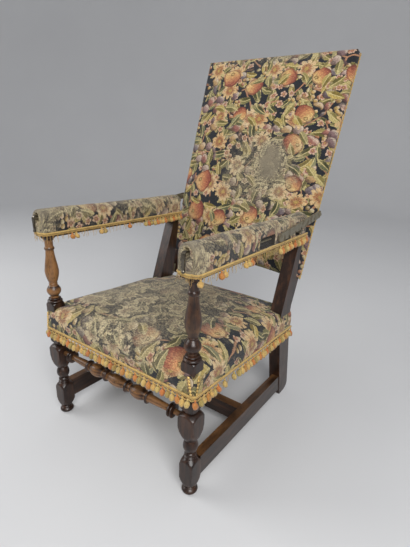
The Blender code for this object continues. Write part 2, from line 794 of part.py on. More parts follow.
def ratchet_inner():
    """Distance of the ratchet bars from the middle plane, clear of the arm fringe and the back's sides."""
    arm_side = LEG_HALF_SPACING + ARM_PAD_WIDTH / 2 + GAP + FRINGE_THICKNESS
    back_side = back_half(ratchet_pivot()[1])
    return max(arm_side, back_side) + RUNNING_CLEARANCE


def ratchet_outer():
    return ratchet_inner() + RATCHET_THICKNESS


def back_point(y, z):
    """(depth, height) in the chair of a point given in the back's own frame."""
    c, s = math.cos(BACK_TILT), math.sin(BACK_TILT)
    return hinge_depth() + y * c + z * s, HINGE_HEIGHT - y * s + z * c


def catch_tip():
    """(depth, height) of the catch's tip, just under the first notch of the bar."""
    y, z = back_point(*ratchet_pivot())
    c, s = math.cos(RATCHET_TILT), math.sin(RATCHET_TILT)
    half = RATCHET_HEIGHT / 2
    return y - NOTCH_FIRST * c + half * s, z - NOTCH_FIRST * s - half * c - CATCH_TOOTH_CLEAR


def catch_pivot():
    """(depth, height) of the catch's pin."""
    y = catch_tip()[0] - CATCH_PIVOT_AHEAD
    return y, arm_under(y) + CATCH_PIVOT_UP


def arm_rail_outline(grow=0.0):
    """Side outline of an arm rail, with the taller head that carries the release lever."""
    front = arm_front() - grow
    head_end = arm_front() + ARM_HEAD_LENGTH + grow
    rear = ARM_REAR_END + grow
    return arm_line(
        (front, -grow),
        (rear, -grow),
        (rear, ARM_RAIL_HEIGHT + grow),
        (head_end + ARM_HEAD_SLOPE, ARM_RAIL_HEIGHT + grow),
        (head_end, ARM_HEAD_HEIGHT + grow),
        (front, ARM_HEAD_HEIGHT + grow),
    )


def mouth_outline():
    """Side outline of the opening in an arm's outer side, in front of the bar's end."""
    return arm_box(MOUTH_FRONT, MOUTH_FRONT + MOUTH_LENGTH, MOUTH_UP, MOUTH_UP + MOUTH_HEIGHT)


def lever_spaces(rail, name, side):
    """Cut the lever's slot, barrel space, tail space and pin hole into an arm's head."""
    y, z = lever_pivot()
    barrel = LEVER_BARREL_RADIUS + RUNNING_CLEARANCE
    half = LEVER_WIDTH / 2 + RUNNING_CLEARANCE
    wall = arm_outer() - POCKET_WALL
    low = LEVER_PIVOT_UP - barrel
    high = ARM_HEAD_HEIGHT + CUT_BEYOND
    outline = arm_box(arm_front() - CUT_BEYOND, y, low - LEVER_NECK_SPACE, high)
    bm = prism_x(outline, side * (LEG_HALF_SPACING - half), side * (LEG_HALF_SPACING + half))
    cut(rail, f"lever_slot_{name}", bm)
    bm = prism_x(arm_box(y - barrel, y + barrel, low, high), side * (LEG_HALF_SPACING - barrel), side * wall)
    cut(rail, f"barrel_space_{name}", bm)
    inside = rod_line() - LEVER_TAIL_WIDTH / 2 - RUNNING_CLEARANCE
    reach = LEVER_TAIL_WIDTH / 2 + LEVER_SWING_SPACE
    outline = arm_box(y - barrel + GAP, y + reach, ROD_UP - ROD_GROOVE_HEIGHT / 2 - GAP, high)
    cut(rail, f"tail_space_{name}", prism_x(outline, side * inside, side * (wall + GAP)))
    start, end = side * (arm_inner() + POCKET_WALL), side * (arm_outer() + CUT_BEYOND)
    bm = bar_x(start, end, y, z, PIVOT_PIN_RADIUS + GAP)
    cut(rail, f"lever_pin_hole_{name}", bm)


def catch_spaces(rail, name, side):
    """Cut the rod's groove, the catch's pocket, the mouth and the catch's pin hole into an arm."""
    y, z = catch_pivot()
    inside = side * (arm_outer() - ROD_GROOVE_DEPTH)
    outside = side * (arm_outer() + CUT_BEYOND)
    high = ROD_UP + ROD_GROOVE_HEIGHT / 2
    groove = arm_box(lever_pivot()[0], y, ROD_UP - ROD_GROOVE_HEIGHT / 2, high)
    cut(rail, f"rod_groove_{name}", prism_x(groove, inside, outside))
    low = CATCH_PIVOT_UP - CATCH_EYE_RADIUS - CATCH_SWING_SPACE
    ahead, behind = y - CATCH_WINDOW_MARGIN, catch_tip()[0] + CATCH_WINDOW_MARGIN
    pocket = arm_box(ahead, behind, low, high + CATCH_SWING_SPACE / 2)
    cut(rail, f"catch_pocket_{name}", prism_x(pocket, inside, outside))
    cut(rail, f"mouth_{name}", prism_x(mouth_outline(), inside + side * GAP, outside))
    bm = bar_x(side * LEG_HALF_SPACING, outside, y, z, PIVOT_PIN_RADIUS + GAP)
    cut(rail, f"catch_pin_hole_{name}", bm)


def arm_rails(chair):
    """The wooden arms, hollowed for the release work."""
    for name, side in SIDES:
        bm = prism_x(arm_rail_outline(), side * arm_inner(), side * arm_outer())
        rail = solid(f"arm_rail_{name}", bm, frame_wood(), chair)
        lever_spaces(rail, name, side)
        catch_spaces(rail, name, side)


def arm_pad_stations():
    """(depth, inset) of the arm pad's sections: a rounded front corner, then a straight run."""
    front = arm_front() - ARM_PAD_FRONT
    stations = []
    for i in range(4):
        angle = math.pi / 2 * i / 3
        y = front + ARM_CORNER_LENGTH * (1 - math.cos(angle))
        stations.append((y, ARM_CORNER_INSET * (1 - math.sin(angle))))
    run = ARM_REAR_END - stations[-1][0]
    stations += [(stations[-1][0] + run * i / 3, 0.0) for i in (1, 2, 3)]
    return stations


def arm_pad_section(y, inset):
    """Section of an arm pad at a depth: straight sides and a full round top."""
    half = ARM_PAD_WIDTH / 2 - inset
    low = arm_under(y) + ARM_PAD_LIFT
    high = arm_under(y) + ARM_PAD_HEIGHT - inset
    shoulder = high - ARM_PAD_SHOULDER
    points = [(-half, low)]
    for i in range(13):
        angle = math.pi * (1 - i / 12)
        points.append((half * math.cos(angle), shoulder + ARM_PAD_SHOULDER * math.sin(angle)))
    points.append((half, low))
    return points


def arm_pads(chair):
    """Padded covers over the arm rails, open below, with the lever's slot and two side openings."""
    front = arm_front() - CUT_BEYOND
    side_face = LEG_HALF_SPACING + ARM_PAD_WIDTH / 2 + CUT_BEYOND
    half = LEVER_WIDTH / 2 + RUNNING_CLEARANCE
    slot_low = LEVER_PIVOT_UP - LEVER_BARREL_RADIUS - CUT_BEYOND
    slot = arm_box(front, lever_pivot()[0], slot_low, ARM_HEAD_HEIGHT)
    window = arm_box(
        catch_pivot()[0] + CATCH_EYE_RADIUS,
        catch_tip()[0] + CATCH_WINDOW_MARGIN,
        ARM_PAD_LIFT + GIMP_HEIGHT,
        ROD_UP + ROD_GROOVE_HEIGHT / 2 + CATCH_SWING_SPACE / 2,
    )
    for name, side in SIDES:
        rings = []
        for y, inset in arm_pad_stations():
            rings.append([(side * (LEG_HALF_SPACING + a), y, z) for a, z in arm_pad_section(y, inset)])
        pad = solid(f"arm_pad_{name}", loft(rings), tapestry(), chair)

        space = arm_rail_outline(GAP)
        rear = ARM_REAR_END + CUT_BEYOND
        space[0] = (space[0][0], arm_under(space[0][0]) - CUT_BEYOND)
        space[1:3] = arm_line((rear, -CUT_BEYOND), (rear, ARM_RAIL_HEIGHT + GAP))
        bm = prism_x(space, side * (arm_inner() - GAP), side * (arm_outer() + GAP))
        cut(pad, f"arm_rail_space_{name}", bm)
        bm = prism_x(slot, side * (LEG_HALF_SPACING - half), side * (LEG_HALF_SPACING + half))
        cut(pad, f"cover_slot_{name}", bm)
        cut(pad, f"cover_mouth_{name}", prism_x(mouth_outline(), side * LEG_HALF_SPACING, side * side_face))
        cut(pad, f"cover_window_{name}", prism_x(window, side * LEG_HALF_SPACING, side * side_face))


def back_half(z):
    """Half width over the back cover at a height up the back."""
    return BACK_HALF_BOTTOM + (BACK_HALF_TOP - BACK_HALF_BOTTOM) * z / BACK_HEIGHT


def stile_front():
    """Depth of the stiles' front faces behind the hinge line, clear of the knuckles."""
    return KNUCKLE_RADIUS + GAP


def stile_rear():
    return stile_front() + STILE_THICKNESS


def stile_outer(z):
    return back_half(z) - BACK_COVER - GAP


def stile_inner(z):
    return stile_outer(z) - STILE_WIDTH


def frame_top():
    """Height of the back frame's top under its cover."""
    return BACK_HEIGHT - BACK_COVER - GAP


def back_stiles(back):
    """Two stiles that run down to the hinges."""
    y, z = ratchet_pivot()
    low, high = STILE_FOOT, frame_top()
    for name, side in SIDES:
        corners = [(stile_outer(low), low), (stile_outer(high), high)]
        corners += [(stile_inner(high), high), (stile_inner(low), low)]
        outline = [(side * a, b) for a, b in corners]
        stile = solid(f"back_stile_{name}", prism_y(outline, stile_front(), stile_rear()), walnut(), back)
        deep = stile_outer(z) - BOLT_EMBED - GAP
        cut(stile, f"bolt_hole_{name}", bar_x(side * deep, side * BACK_HALF_TOP, y, z, BOLT_RADIUS + GAP))


def back_rails(back):
    """Three rails between the stiles."""
    lows = {
        "bottom": BACK_PAD_BOTTOM + BACK_PAD_ARCH + BACK_COVER + GAP,
        "middle": BACK_MIDDLE_RAIL,
        "top": frame_top() - BACK_RAIL_HEIGHT,
    }
    for name, low in lows.items():
        high = low + BACK_RAIL_HEIGHT
        corners = ((1, low), (1, high), (-1, high), (-1, low))
        outline = [(side * (stile_inner(z) - GAP), z) for side, z in corners]
        solid(f"back_rail_{name}", prism_y(outline, stile_front(), stile_rear()), frame_wood(), back)


def back_low_edge(share):
    """Height of the back cover's arched lower edge at a share of its half width."""
    return BACK_PAD_BOTTOM + BACK_PAD_ARCH * (1 - share ** 2)


def low_arch(lift):
    """Points between the stiles, lifted above the back cover's lower edge."""
    inner = stile_inner(0.0) - GAP
    points = []
    for i in range(9):
        x = inner * (i / 4 - 1)
        points.append((x, back_low_edge(x / back_half(BACK_PAD_BOTTOM)) + lift))
    return points


def frame_space_outline():
    """Outline of the room for the back frame: arched between the stiles and open below them."""
    low = BACK_PAD_BOTTOM - CUT_BEYOND
    top = BACK_HEIGHT - BACK_COVER
    arch = low_arch(BACK_COVER)
    inner = arch[-1][0]
    left = [(-back_half(top) + BACK_COVER, top), (-back_half(low) + BACK_COVER, low), (-inner, low)]
    right = [(inner, low), (back_half(low) - BACK_COVER, low), (back_half(top) - BACK_COVER, top)]
    return left + arch + right


def rear_cloth_outline():
    """Outline of the rear cloth inside the cover: straight sides and top, arched lower edge."""
    arch = low_arch(BACK_COVER + GAP)
    low, top = arch[0][1], frame_top()
    left = [(-stile_outer(top), top), (-stile_outer(low), low)]
    right = [(stile_outer(low), low), (stile_outer(top), top)]
    return left + arch + right


def back_pad(back):
    """The stuffed back: a full front and a cover that wraps the edges of the frame."""
    front = stile_front() - BACK_STUFFING_EDGE
    rear = stile_rear() + GAP + REAR_CLOTH
    rows, feet = [], []
    for v in shares(BACK_HEIGHT - BACK_PAD_BOTTOM, BACK_EDGE_ROUND, 12):
        row, foot = [], []
        for u in shares(2 * back_half(BACK_HEIGHT / 2), BACK_EDGE_ROUND, 8):
            low = back_low_edge(u)
            z = low + (BACK_HEIGHT - low) * (v + 1) / 2
            x = back_half(z) * u
            near = min(back_half(z) - abs(x), z - low, BACK_HEIGHT - z)
            crown = BACK_CROWN * (1 - u ** 2) ** 0.8 * (1 - v ** 4)
            row.append((x, front - crown + edge_drop(near, BACK_EDGE_ROUND), z))
            foot.append((x, rear, z))
        rows.append(row)
        feet.append(foot)
    pad = solid("back_pad", cushion(rows, feet), tapestry(), back)

    cut(pad, "back_frame_space", prism_y(frame_space_outline(), stile_front() - GAP, rear + CUT_BEYOND))
    y, z = ratchet_pivot()
    for name, side in SIDES:
        bm = bar_x(side * stile_inner(z), side * (BACK_HALF_TOP + CUT_BEYOND), y, z, BOLT_RADIUS + GAP)
        cut(pad, f"bolt_way_{name}", bm)


def back_rear_cloth(back):
    """The plain cloth that closes the rear of the back frame."""
    y = stile_rear() + GAP
    solid("back_rear_cloth", prism_y(rear_cloth_outline(), y, y + REAR_CLOTH), linen(), back)


def hinge_middle():
    """Distance of a hinge from the middle plane, where post and stile overlap."""
    return (LEG_HALF_SPACING - REAR_POST_WIDTH / 2 + stile_outer(0.0)) / 2


def leaf_outline(ahead):
    """Side outline of a hinge leaf: a plate that runs into the knuckle; ahead is -1 for the front leaf."""
    inside = KNUCKLE_RADIUS - HINGE_LEAF
    meet = math.acos(inside / KNUCKLE_RADIUS)
    points = [(ahead * KNUCKLE_RADIUS, HINGE_LEAF_HEIGHT), (ahead * inside, HINGE_LEAF_HEIGHT)]
    for i in range(PIN_SIDES + 1):
        angle = meet + (2 * math.pi - meet) * i / PIN_SIDES
        points.append((ahead * KNUCKLE_RADIUS * math.cos(angle), KNUCKLE_RADIUS * math.sin(angle)))
    return points


def hinge_leaf(name, parent, x, ahead, other_knuckles):
    """A hinge leaf, with room cut for the other leaf's knuckles and a bore for the pin."""
    bm = prism_x(leaf_outline(ahead), x - HINGE_WIDTH / 2, x + HINGE_WIDTH / 2)
    leaf = solid(name, bm, iron(), parent)
    reach = KNUCKLE_RADIUS + RUNNING_CLEARANCE
    for k, (start, end) in enumerate(other_knuckles):
        bm = block((x + start - GAP, -reach, -reach), (x + end + GAP, reach, reach))
        cut(leaf, f"{name}_room_{k}", bm)
    bm = bar_x(x - HINGE_WIDTH, x + HINGE_WIDTH, 0, 0, HINGE_PIN_RADIUS + PIN_CLEARANCE)
    cut(leaf, f"{name}_bore", bm)


def hinges(chair, back):
    """Butt hinges between the rear posts and the stiles: two leaves and a pin on each side."""
    line = empty("hinge_line", chair, (0, hinge_depth(), HINGE_HEIGHT), -rear_post_rake())
    third = HINGE_WIDTH / 3
    middle = (-third / 2, third / 2)
    ends = ((-HINGE_WIDTH, -third / 2), (third / 2, HINGE_WIDTH))
    for name, side in SIDES:
        x = side * hinge_middle()
        hinge_leaf(f"hinge_post_leaf_{name}", line, x, -1, [middle])
        hinge_leaf(f"hinge_stile_leaf_{name}", back, x, 1, ends)
        pin = bar_x(x - HINGE_WIDTH / 2, x + HINGE_WIDTH / 2, 0, 0, HINGE_PIN_RADIUS)
        solid(f"hinge_pin_{name}", pin, iron(), line)


def ratchet_outline():
    """Side outline of a ratchet bar: round eye, saw notches below and a rounded nose."""
    half = RATCHET_HEIGHT / 2
    corners = []
    for i in range(9):
        angle = math.pi / 2 - math.pi * i / 8
        corners.append((half * math.cos(angle), half * math.sin(angle), 0))
    for k in range(NOTCH_COUNT):
        y = -NOTCH_FIRST - k * NOTCH_STEP
        corners += [
            (y + NOTCH_WIDTH / 2, -half, 0),
            (y - NOTCH_WIDTH / 4, -half + NOTCH_DEPTH, 0),
            (y - NOTCH_WIDTH / 2, -half + NOTCH_DEPTH, 0),
            (y - NOTCH_WIDTH / 2, -half, 0),
        ]
    corners += [(-RATCHET_LENGTH, -half, RATCHET_NOSE_RADIUS), (-RATCHET_LENGTH, half, RATCHET_BROW_RADIUS)]
    return rounded(corners)


def ratchet_bars(back):
    """Notched bars that hang from the back and run forward along the outside of the arms."""
    y, z = ratchet_pivot()
    for name, side in SIDES:
        pivot = empty(f"ratchet_pivot_{name}", back, (0, y, z), BACK_TILT + RATCHET_TILT)
        bm = prism_x(ratchet_outline(), side * ratchet_inner(), side * ratchet_outer())
        bar = solid(f"ratchet_bar_{name}", bm, iron(), pivot)
        reach = BOLT_RADIUS + PIN_CLEARANCE
        cut(bar, f"ratchet_eye_{name}", bar_x(0, side * (ratchet_outer() + CUT_BEYOND), 0, 0, reach))


def ratchet_bolts(back):
    """Bolts in the stiles: shank, stand-off collar, pivot and domed head in one turned piece."""
    y, z = ratchet_pivot()
    collar = back_half(z) + 2 * GAP
    head = ratchet_outer() + GAP
    rings = round_rings([
        (stile_outer(z) - BOLT_EMBED, BOLT_RADIUS),
        (collar, BOLT_RADIUS),
        (collar + GAP, BOLT_COLLAR_RADIUS),
        (ratchet_inner() - 2 * GAP, BOLT_COLLAR_RADIUS),
        (ratchet_inner() - GAP, BOLT_RADIUS),
        (head, BOLT_RADIUS),
        (head + GAP, BOLT_HEAD_RADIUS),
        (head + BOLT_HEAD_HEIGHT / 3, BOLT_HEAD_RADIUS),
        (head + BOLT_HEAD_HEIGHT, BOLT_HEAD_RADIUS / 2),
    ])
    for name, side in SIDES:
        bm = turned(rings, PIN_SIDES, lambda a, b, x: (side * x, y + a, z + b))
        solid(f"ratchet_bolt_{name}", bm, iron(), back)


def lever_strap(side):
    """The lever's neck and hanging strap about its pin, narrowing to the tip."""
    rear = arm_front() - ARM_PAD_FRONT - LEVER_FINGER_GAP - lever_pivot()[0]
    front = rear - LEVER_THICKNESS
    neck = LEVER_THICKNESS / 2
    outline = rounded([
        (neck, neck, 0),
        (front, LEVER_RISE, LEVER_BEND_RADIUS + LEVER_THICKNESS),
        (front, -LEVER_DROP, 0),
        (rear, -LEVER_DROP, 0),
        (rear, LEVER_RISE - LEVER_THICKNESS, LEVER_BEND_RADIUS),
        (neck, -neck, 0),
    ], 4)
    rings = []
    for end in (-1, 1):
        ring = []
        for y, z in outline:
            half = LEVER_TIP_WIDTH / 2 if z <= -LEVER_DROP else LEVER_WIDTH / 2
            ring.append((side * (LEG_HALF_SPACING + end * half), y, z))
        rings.append(ring)
    return loft(rings)


def lever_ball(side):
    """The small ball at the lever's tip."""
    y = arm_front() - ARM_PAD_FRONT - LEVER_FINGER_GAP - LEVER_THICKNESS / 2 - lever_pivot()[0]
    bm = bmesh.new()
    bmesh.ops.create_uvsphere(bm, u_segments=12, v_segments=8, radius=LEVER_BALL_RADIUS)
    bmesh.ops.translate(bm, verts=bm.verts, vec=(side * LEG_HALF_SPACING, y, -LEVER_DROP))
    return bm


def release_levers(chair):
    """Levers at the arm fronts: strap, ball, barrel on the pin and the tail that pushes the rod."""
    tail = LEVER_TAIL_WIDTH / 2
    end = rod_line() + tail
    tail_low = ROD_UP - LEVER_PIVOT_UP - LEVER_TAIL_BELOW_ROD
    for name, side in SIDES:
        pivot = empty(f"lever_pivot_{name}", chair, (0, *lever_pivot()))
        lever = solid(f"release_lever_{name}", lever_strap(side), iron(), pivot)
        join(lever, f"lever_ball_{name}", lever_ball(side))
        start = LEG_HALF_SPACING - LEVER_WIDTH / 2 - GAP
        join(lever, f"lever_barrel_{name}", bar_x(side * start, side * end, 0, 0, LEVER_BARREL_RADIUS))
        bm = block((side * (rod_line() - tail), -tail, tail_low), (side * (end + GAP), tail, 0))
        join(lever, f"lever_tail_{name}", bm)
        bore = PIVOT_PIN_RADIUS + PIN_CLEARANCE
        bm = bar_x(side * (start - CUT_BEYOND), side * (end + CUT_BEYOND), 0, 0, bore)
        cut(lever, f"lever_bore_{name}", bm)


def pivot_pins(chair):
    """Pins of the levers and the catches, held in the arm rails."""
    for name, side in SIDES:
        end = side * (arm_outer() - GAP)
        y, z = lever_pivot()
        bm = bar_x(side * (arm_inner() + POCKET_WALL + GAP), end, y, z, PIVOT_PIN_RADIUS)
        solid(f"lever_pin_{name}", bm, iron(), chair)
        y, z = catch_pivot()
        bm = bar_x(side * (LEG_HALF_SPACING + GAP), end, y, z, PIVOT_PIN_RADIUS)
        solid(f"catch_pin_{name}", bm, iron(), chair)


def push_rods(chair):
    """Rods along the arms from the lever tails to the catches, with tapered tips."""
    start = lever_pivot()[0] + LEVER_TAIL_WIDTH / 2 + GAP
    end = catch_pivot()[0] - CATCH_ARM / 2 - GAP
    rings = round_rings([
        (start, ROD_TIP_RADIUS),
        (start + ROD_TIP_LENGTH, ROD_RADIUS),
        (end - ROD_TIP_LENGTH, ROD_RADIUS),
        (end, ROD_TIP_RADIUS),
    ])
    for name, side in SIDES:
        place = lambda a, b, y: (side * rod_line() + a, y, arm_under(y) + ROD_UP + b)
        solid(f"push_rod_{name}", turned(rings, PIN_SIDES, place), iron(), chair)


def catches(chair):
    """Catches under the bars: eye, arm met by the rod, and a tooth that reaches out of the arm."""
    tip_y, tip_z = (a - b for a, b in zip(catch_tip(), catch_pivot()))
    inside = arm_outer() - ROD_GROOVE_DEPTH + RUNNING_CLEARANCE / 2
    outside = inside + CATCH_PLATE
    arm = CATCH_ARM / 2
    tooth = CATCH_TOOTH_LENGTH / 2
    tooth_low = tip_z - CATCH_TOOTH_HEIGHT
    rear_arm = [
        (0, -arm),
        (tip_y + arm, tooth_low + QUIRK),
        (tip_y + arm, tip_z - CATCH_ARM),
        (0, arm),
    ]
    tooth_outline = [
        (tip_y - tooth, tooth_low),
        (tip_y + tooth, tooth_low),
        (tip_y + tooth, tip_z - tooth),
        (tip_y, tip_z),
        (tip_y - CATCH_TOOTH_TIP, tip_z),
    ]
    high = ROD_UP - CATCH_PIVOT_UP + ROD_RADIUS
    for name, side in SIDES:
        pivot = empty(f"catch_pivot_{name}", chair, (0, *catch_pivot()))
        eye = bar_x(side * inside, side * outside, 0, 0, CATCH_EYE_RADIUS)
        catch = solid(f"catch_{name}", eye, iron(), pivot)
        bm = block((side * (inside + GAP), -arm, 0), (side * (outside - GAP), arm, high))
        join(catch, f"catch_arm_{name}", bm)
        bm = prism_x(rear_arm, side * (inside + GAP), side * (outside - GAP))
        join(catch, f"catch_rear_arm_{name}", bm)
        join(catch, f"catch_tooth_{name}", prism_x(tooth_outline, side * inside, side * ratchet_outer()))
        bore = PIVOT_PIN_RADIUS + PIN_CLEARANCE
        bm = bar_x(side * (inside - CUT_BEYOND), side * (outside + CUT_BEYOND), 0, 0, bore)
        cut(catch, f"catch_bore_{name}", bm)


def offset_path(path, distance):
    """A plan path moved out to its left-hand side, with mitred corners."""
    moved = []
    for i, point in enumerate(path):
        normals = []
        for a, b in ((i - 1, i), (i, i + 1)):
            if a >= 0 and b < len(path):
                along = (Vector(path[b]) - Vector(path[a])).normalized()
                normals.append(Vector((-along.y, along.x)))
        mitre = normals[0] + normals[-1]
        moved.append(Vector(point) + mitre * distance / mitre.dot(normals[0]))
    return moved


def fringe(name, path, low_line, parent):
    """A gimp band with a row of tassels, along a plan path on the face that it is sewn to."""
    inner = offset_path(path, GAP)
    outer = offset_path(path, GAP + FRINGE_THICKNESS)
    stations = []
    for k in range(len(path) - 1):
        count = max(1, round((outer[k + 1] - outer[k]).length / (TASSEL_PITCH / 2)))
        for i in range(count):
            share = i / count
            stations.append((inner[k].lerp(inner[k + 1], share), outer[k].lerp(outer[k + 1], share)))
    stations.append((inner[-1], outer[-1]))
    rings = []
    for i, (near, far) in enumerate(stations):
        drop = TASSEL_DROP if i % 2 else TASSEL_GAP_DROP
        ring = []
        for point, up in ((near, GIMP_HEIGHT), (far, GIMP_HEIGHT), (far, -drop), (near, -drop)):
            ring.append((point.x, point.y, low_line(point.y) + up))
        rings.append(ring)
    solid(name, loft(rings), gold_trim(), parent)


def seat_fringe(chair):
    """Fringe along both sides and the front of the seat."""
    half, front, rear = seat_half(), seat_front(), SEAT_REAR_EDGE
    corners = [(half, rear), (half, front), (-half, front), (-half, rear)]
    fringe("seat_fringe", corners, seat_edge, chair)


def arm_fringes(chair):
    """Fringe round both sides and the front of each arm."""
    edge = []
    for y, inset in arm_pad_stations():
        edge.append((ARM_PAD_WIDTH / 2 - inset, y))
    for name, side in SIDES:
        middle = side * LEG_HALF_SPACING
        path = [(middle + a, y) for a, y in reversed(edge)] + [(middle - a, y) for a, y in edge]
        fringe(f"arm_fringe_{name}", path, lambda y: arm_under(y) + ARM_PAD_LIFT, chair)


def chair_middle():
    """Depth of the middle of the chair's box, between the lever tips and the top of the back."""
    front = arm_front() - ARM_PAD_FRONT - LEVER_FINGER_GAP - LEVER_THICKNESS / 2 - LEVER_BALL_RADIUS
    rear = back_point(stile_rear() + GAP + REAR_CLOTH, BACK_HEIGHT)[0]
    return (front + rear) / 2


def build():
    """Build the whole chair."""
    clear_scene()
    chair = empty("chair", None, (0, -chair_middle(), 0))
    front_posts(chair)
    rear_posts(chair)
    front_stretcher(chair)
    side_stretchers(chair)
    cross_stretcher(chair)
    seat_rails(chair)
    seat_webbing(chair)
    seat_pad(chair)
    seat_fringe(chair)
    arm_rails(chair)
    arm_pads(chair)
    arm_fringes(chair)
    release_levers(chair)
    pivot_pins(chair)
    push_rods(chair)
    catches(chair)
    back = empty("back", chair, (0, hinge_depth(), HINGE_HEIGHT), -BACK_TILT)
    back_stiles(back)
    back_rails(back)
    back_pad(back)
    back_rear_cloth(back)
    hinges(chair, back)
    ratchet_bars(back)
    ratchet_bolts(back)


build()
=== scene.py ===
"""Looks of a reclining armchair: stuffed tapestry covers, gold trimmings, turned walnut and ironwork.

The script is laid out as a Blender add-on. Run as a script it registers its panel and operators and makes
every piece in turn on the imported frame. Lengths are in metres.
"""
import math
import random
from collections import namedtuple
from functools import cache

import bmesh
import bpy
from mathutils import Matrix, Vector, noise


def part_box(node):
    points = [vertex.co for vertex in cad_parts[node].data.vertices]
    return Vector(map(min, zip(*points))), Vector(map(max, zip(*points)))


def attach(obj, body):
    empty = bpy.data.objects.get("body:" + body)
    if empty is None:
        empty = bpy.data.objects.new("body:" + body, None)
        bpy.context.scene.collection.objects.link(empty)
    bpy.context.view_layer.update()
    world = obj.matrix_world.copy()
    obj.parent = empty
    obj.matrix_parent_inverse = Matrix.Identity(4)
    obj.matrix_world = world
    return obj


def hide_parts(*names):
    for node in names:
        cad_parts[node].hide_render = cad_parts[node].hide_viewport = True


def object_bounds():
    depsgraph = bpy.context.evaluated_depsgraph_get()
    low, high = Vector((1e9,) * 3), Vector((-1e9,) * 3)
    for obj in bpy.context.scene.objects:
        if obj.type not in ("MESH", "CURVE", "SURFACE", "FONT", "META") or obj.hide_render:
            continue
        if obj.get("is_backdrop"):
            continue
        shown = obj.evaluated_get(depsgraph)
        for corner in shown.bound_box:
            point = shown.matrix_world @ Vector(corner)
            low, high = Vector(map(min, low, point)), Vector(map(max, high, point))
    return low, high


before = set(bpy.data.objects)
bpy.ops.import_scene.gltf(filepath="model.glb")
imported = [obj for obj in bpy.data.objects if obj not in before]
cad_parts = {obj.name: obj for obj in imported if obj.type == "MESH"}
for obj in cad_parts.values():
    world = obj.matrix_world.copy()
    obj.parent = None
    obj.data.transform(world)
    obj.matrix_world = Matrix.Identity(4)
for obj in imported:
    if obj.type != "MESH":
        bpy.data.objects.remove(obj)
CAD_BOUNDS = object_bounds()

bl_info = {
    "name": "Reclining Armchair Looks",
    "version": (1, 0, 0),
    "blender": (4, 5, 0),
    "location": "View3D > Sidebar > Armchair",
    "description": "Covers, trimmings, turned wood, ironwork and studio of a reclining armchair",
    "category": "Object",
}

TAU = 2 * math.pi
UP = Vector((0, 0, 1))
SIDES = (("left", 1), ("right", -1))

# Legs in plan, as in the solid model; depths are laid out from midway between the legs
POST_X = 0.2855
FRONT_Y = -0.2935
POST_LOW, POST_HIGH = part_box("front_post_left")
DEPTH_SHIFT = (POST_LOW.y + POST_HIGH.y) / 2 - FRONT_Y
POST_HALF_SQUARE = 0.021
REAR_POST_Y = 0.2345
REAR_POST_HALF = (0.022, 0.044)

# Seat
SEAT_EDGE = 0.337
SEAT_FALL = math.tan(math.radians(4.65))
SEAT_HALF = 0.3108
SEAT_FRONT = -0.3178
SEAT_REAR = 0.3035
WEBBING_UP = 0.0703
SEAT_STUFFING = 0.0145
SEAT_ROUND = 0.018
SEAT_CORNER = 0.014
SEAT_LIP = 0.003

# Back, in its own frame: x across, y rearward, z up from the hinge line
BACK_TILT = math.radians(19.64)
HINGE_Y = 0.293942
HINGE_Z = 0.384
BACK_HEIGHT = 0.957
BACK_HALF_LOW = 0.2994
BACK_HALF_TOP = 0.325
BACK_LOW = 0.098
BACK_ARCH = 0.022
BACK_FRONT = -0.0022
BACK_REAR = 0.0346
BACK_ROUND = 0.014
BACK_CORNER = 0.016
BACK_LIP = 0.004
STILE_FRONT = 0.0050

# Arms; openings are given as depths and heights, the lever's slot as half width, half height and middle
ARM_UNDER = 0.660
ARM_FALL = math.tan(math.radians(1.8))
ARM_HALF = 0.030
ARM_LIFT = 0.006
ARM_TOP = 0.087
ARM_SHOULDER = 0.028
ARM_FRONT = -0.322
ARM_REAR = 0.336
ARM_FRONT_INSET = 0.0056
ARM_CORNER = 0.014
MOUTH = (-0.020, 0.075, 0.018, 0.049)
CATCH_WINDOW = (0.2412, 0.2733, 0.018, 0.044)
LEVER_SLOT = (0.0064, 0.0130, 0.062)
BAR_GAP = 0.0006
POCKET = 0.0150


def in_row(x, y, z):
    """A point laid out in the chair, in the frame's axes."""
    return Vector((x, y + DEPTH_SHIFT, z))


def on_back(x, y, z):
    """A point given in the back's own frame, in the frame's axes."""
    c, s = math.cos(BACK_TILT), math.sin(BACK_TILT)
    return in_row(x, HINGE_Y + y * c + z * s, HINGE_Z - y * s + z * c)


def seat_edge(y):
    """Height of the seat cover's lower edge at a depth."""
    return SEAT_EDGE - SEAT_FALL * (y - FRONT_Y)


def arm_under(y):
    """Height of the arm rail's underside at a depth."""
    return ARM_UNDER - ARM_FALL * (y - FRONT_Y)


def back_half(z):
    """Half width of the back cover at a height up the back."""
    return BACK_HALF_LOW + (BACK_HALF_TOP - BACK_HALF_LOW) * z / BACK_HEIGHT


def smooth(value, low, high):
    """A smooth step from 0 at low to 1 at high."""
    t = min(max((value - low) / (high - low), 0.0), 1.0)
    return t * t * (3 - 2 * t)


def edge_drop(distance, radius):
    """How far a rounded edge has fallen at a distance in from it."""
    inside = min(max(distance, 0.0), radius)
    return radius - math.sqrt(radius ** 2 - (radius - inside) ** 2)


def around(count):
    """Cosine and sine of even turns round a circle."""
    return [(math.cos(TAU * k / count), math.sin(TAU * k / count)) for k in range(count)]


def bumps(size, *place):
    """Smooth lumps of a size, looked up at a place in space."""
    return size * noise.noise(Vector(place))


# Node trees


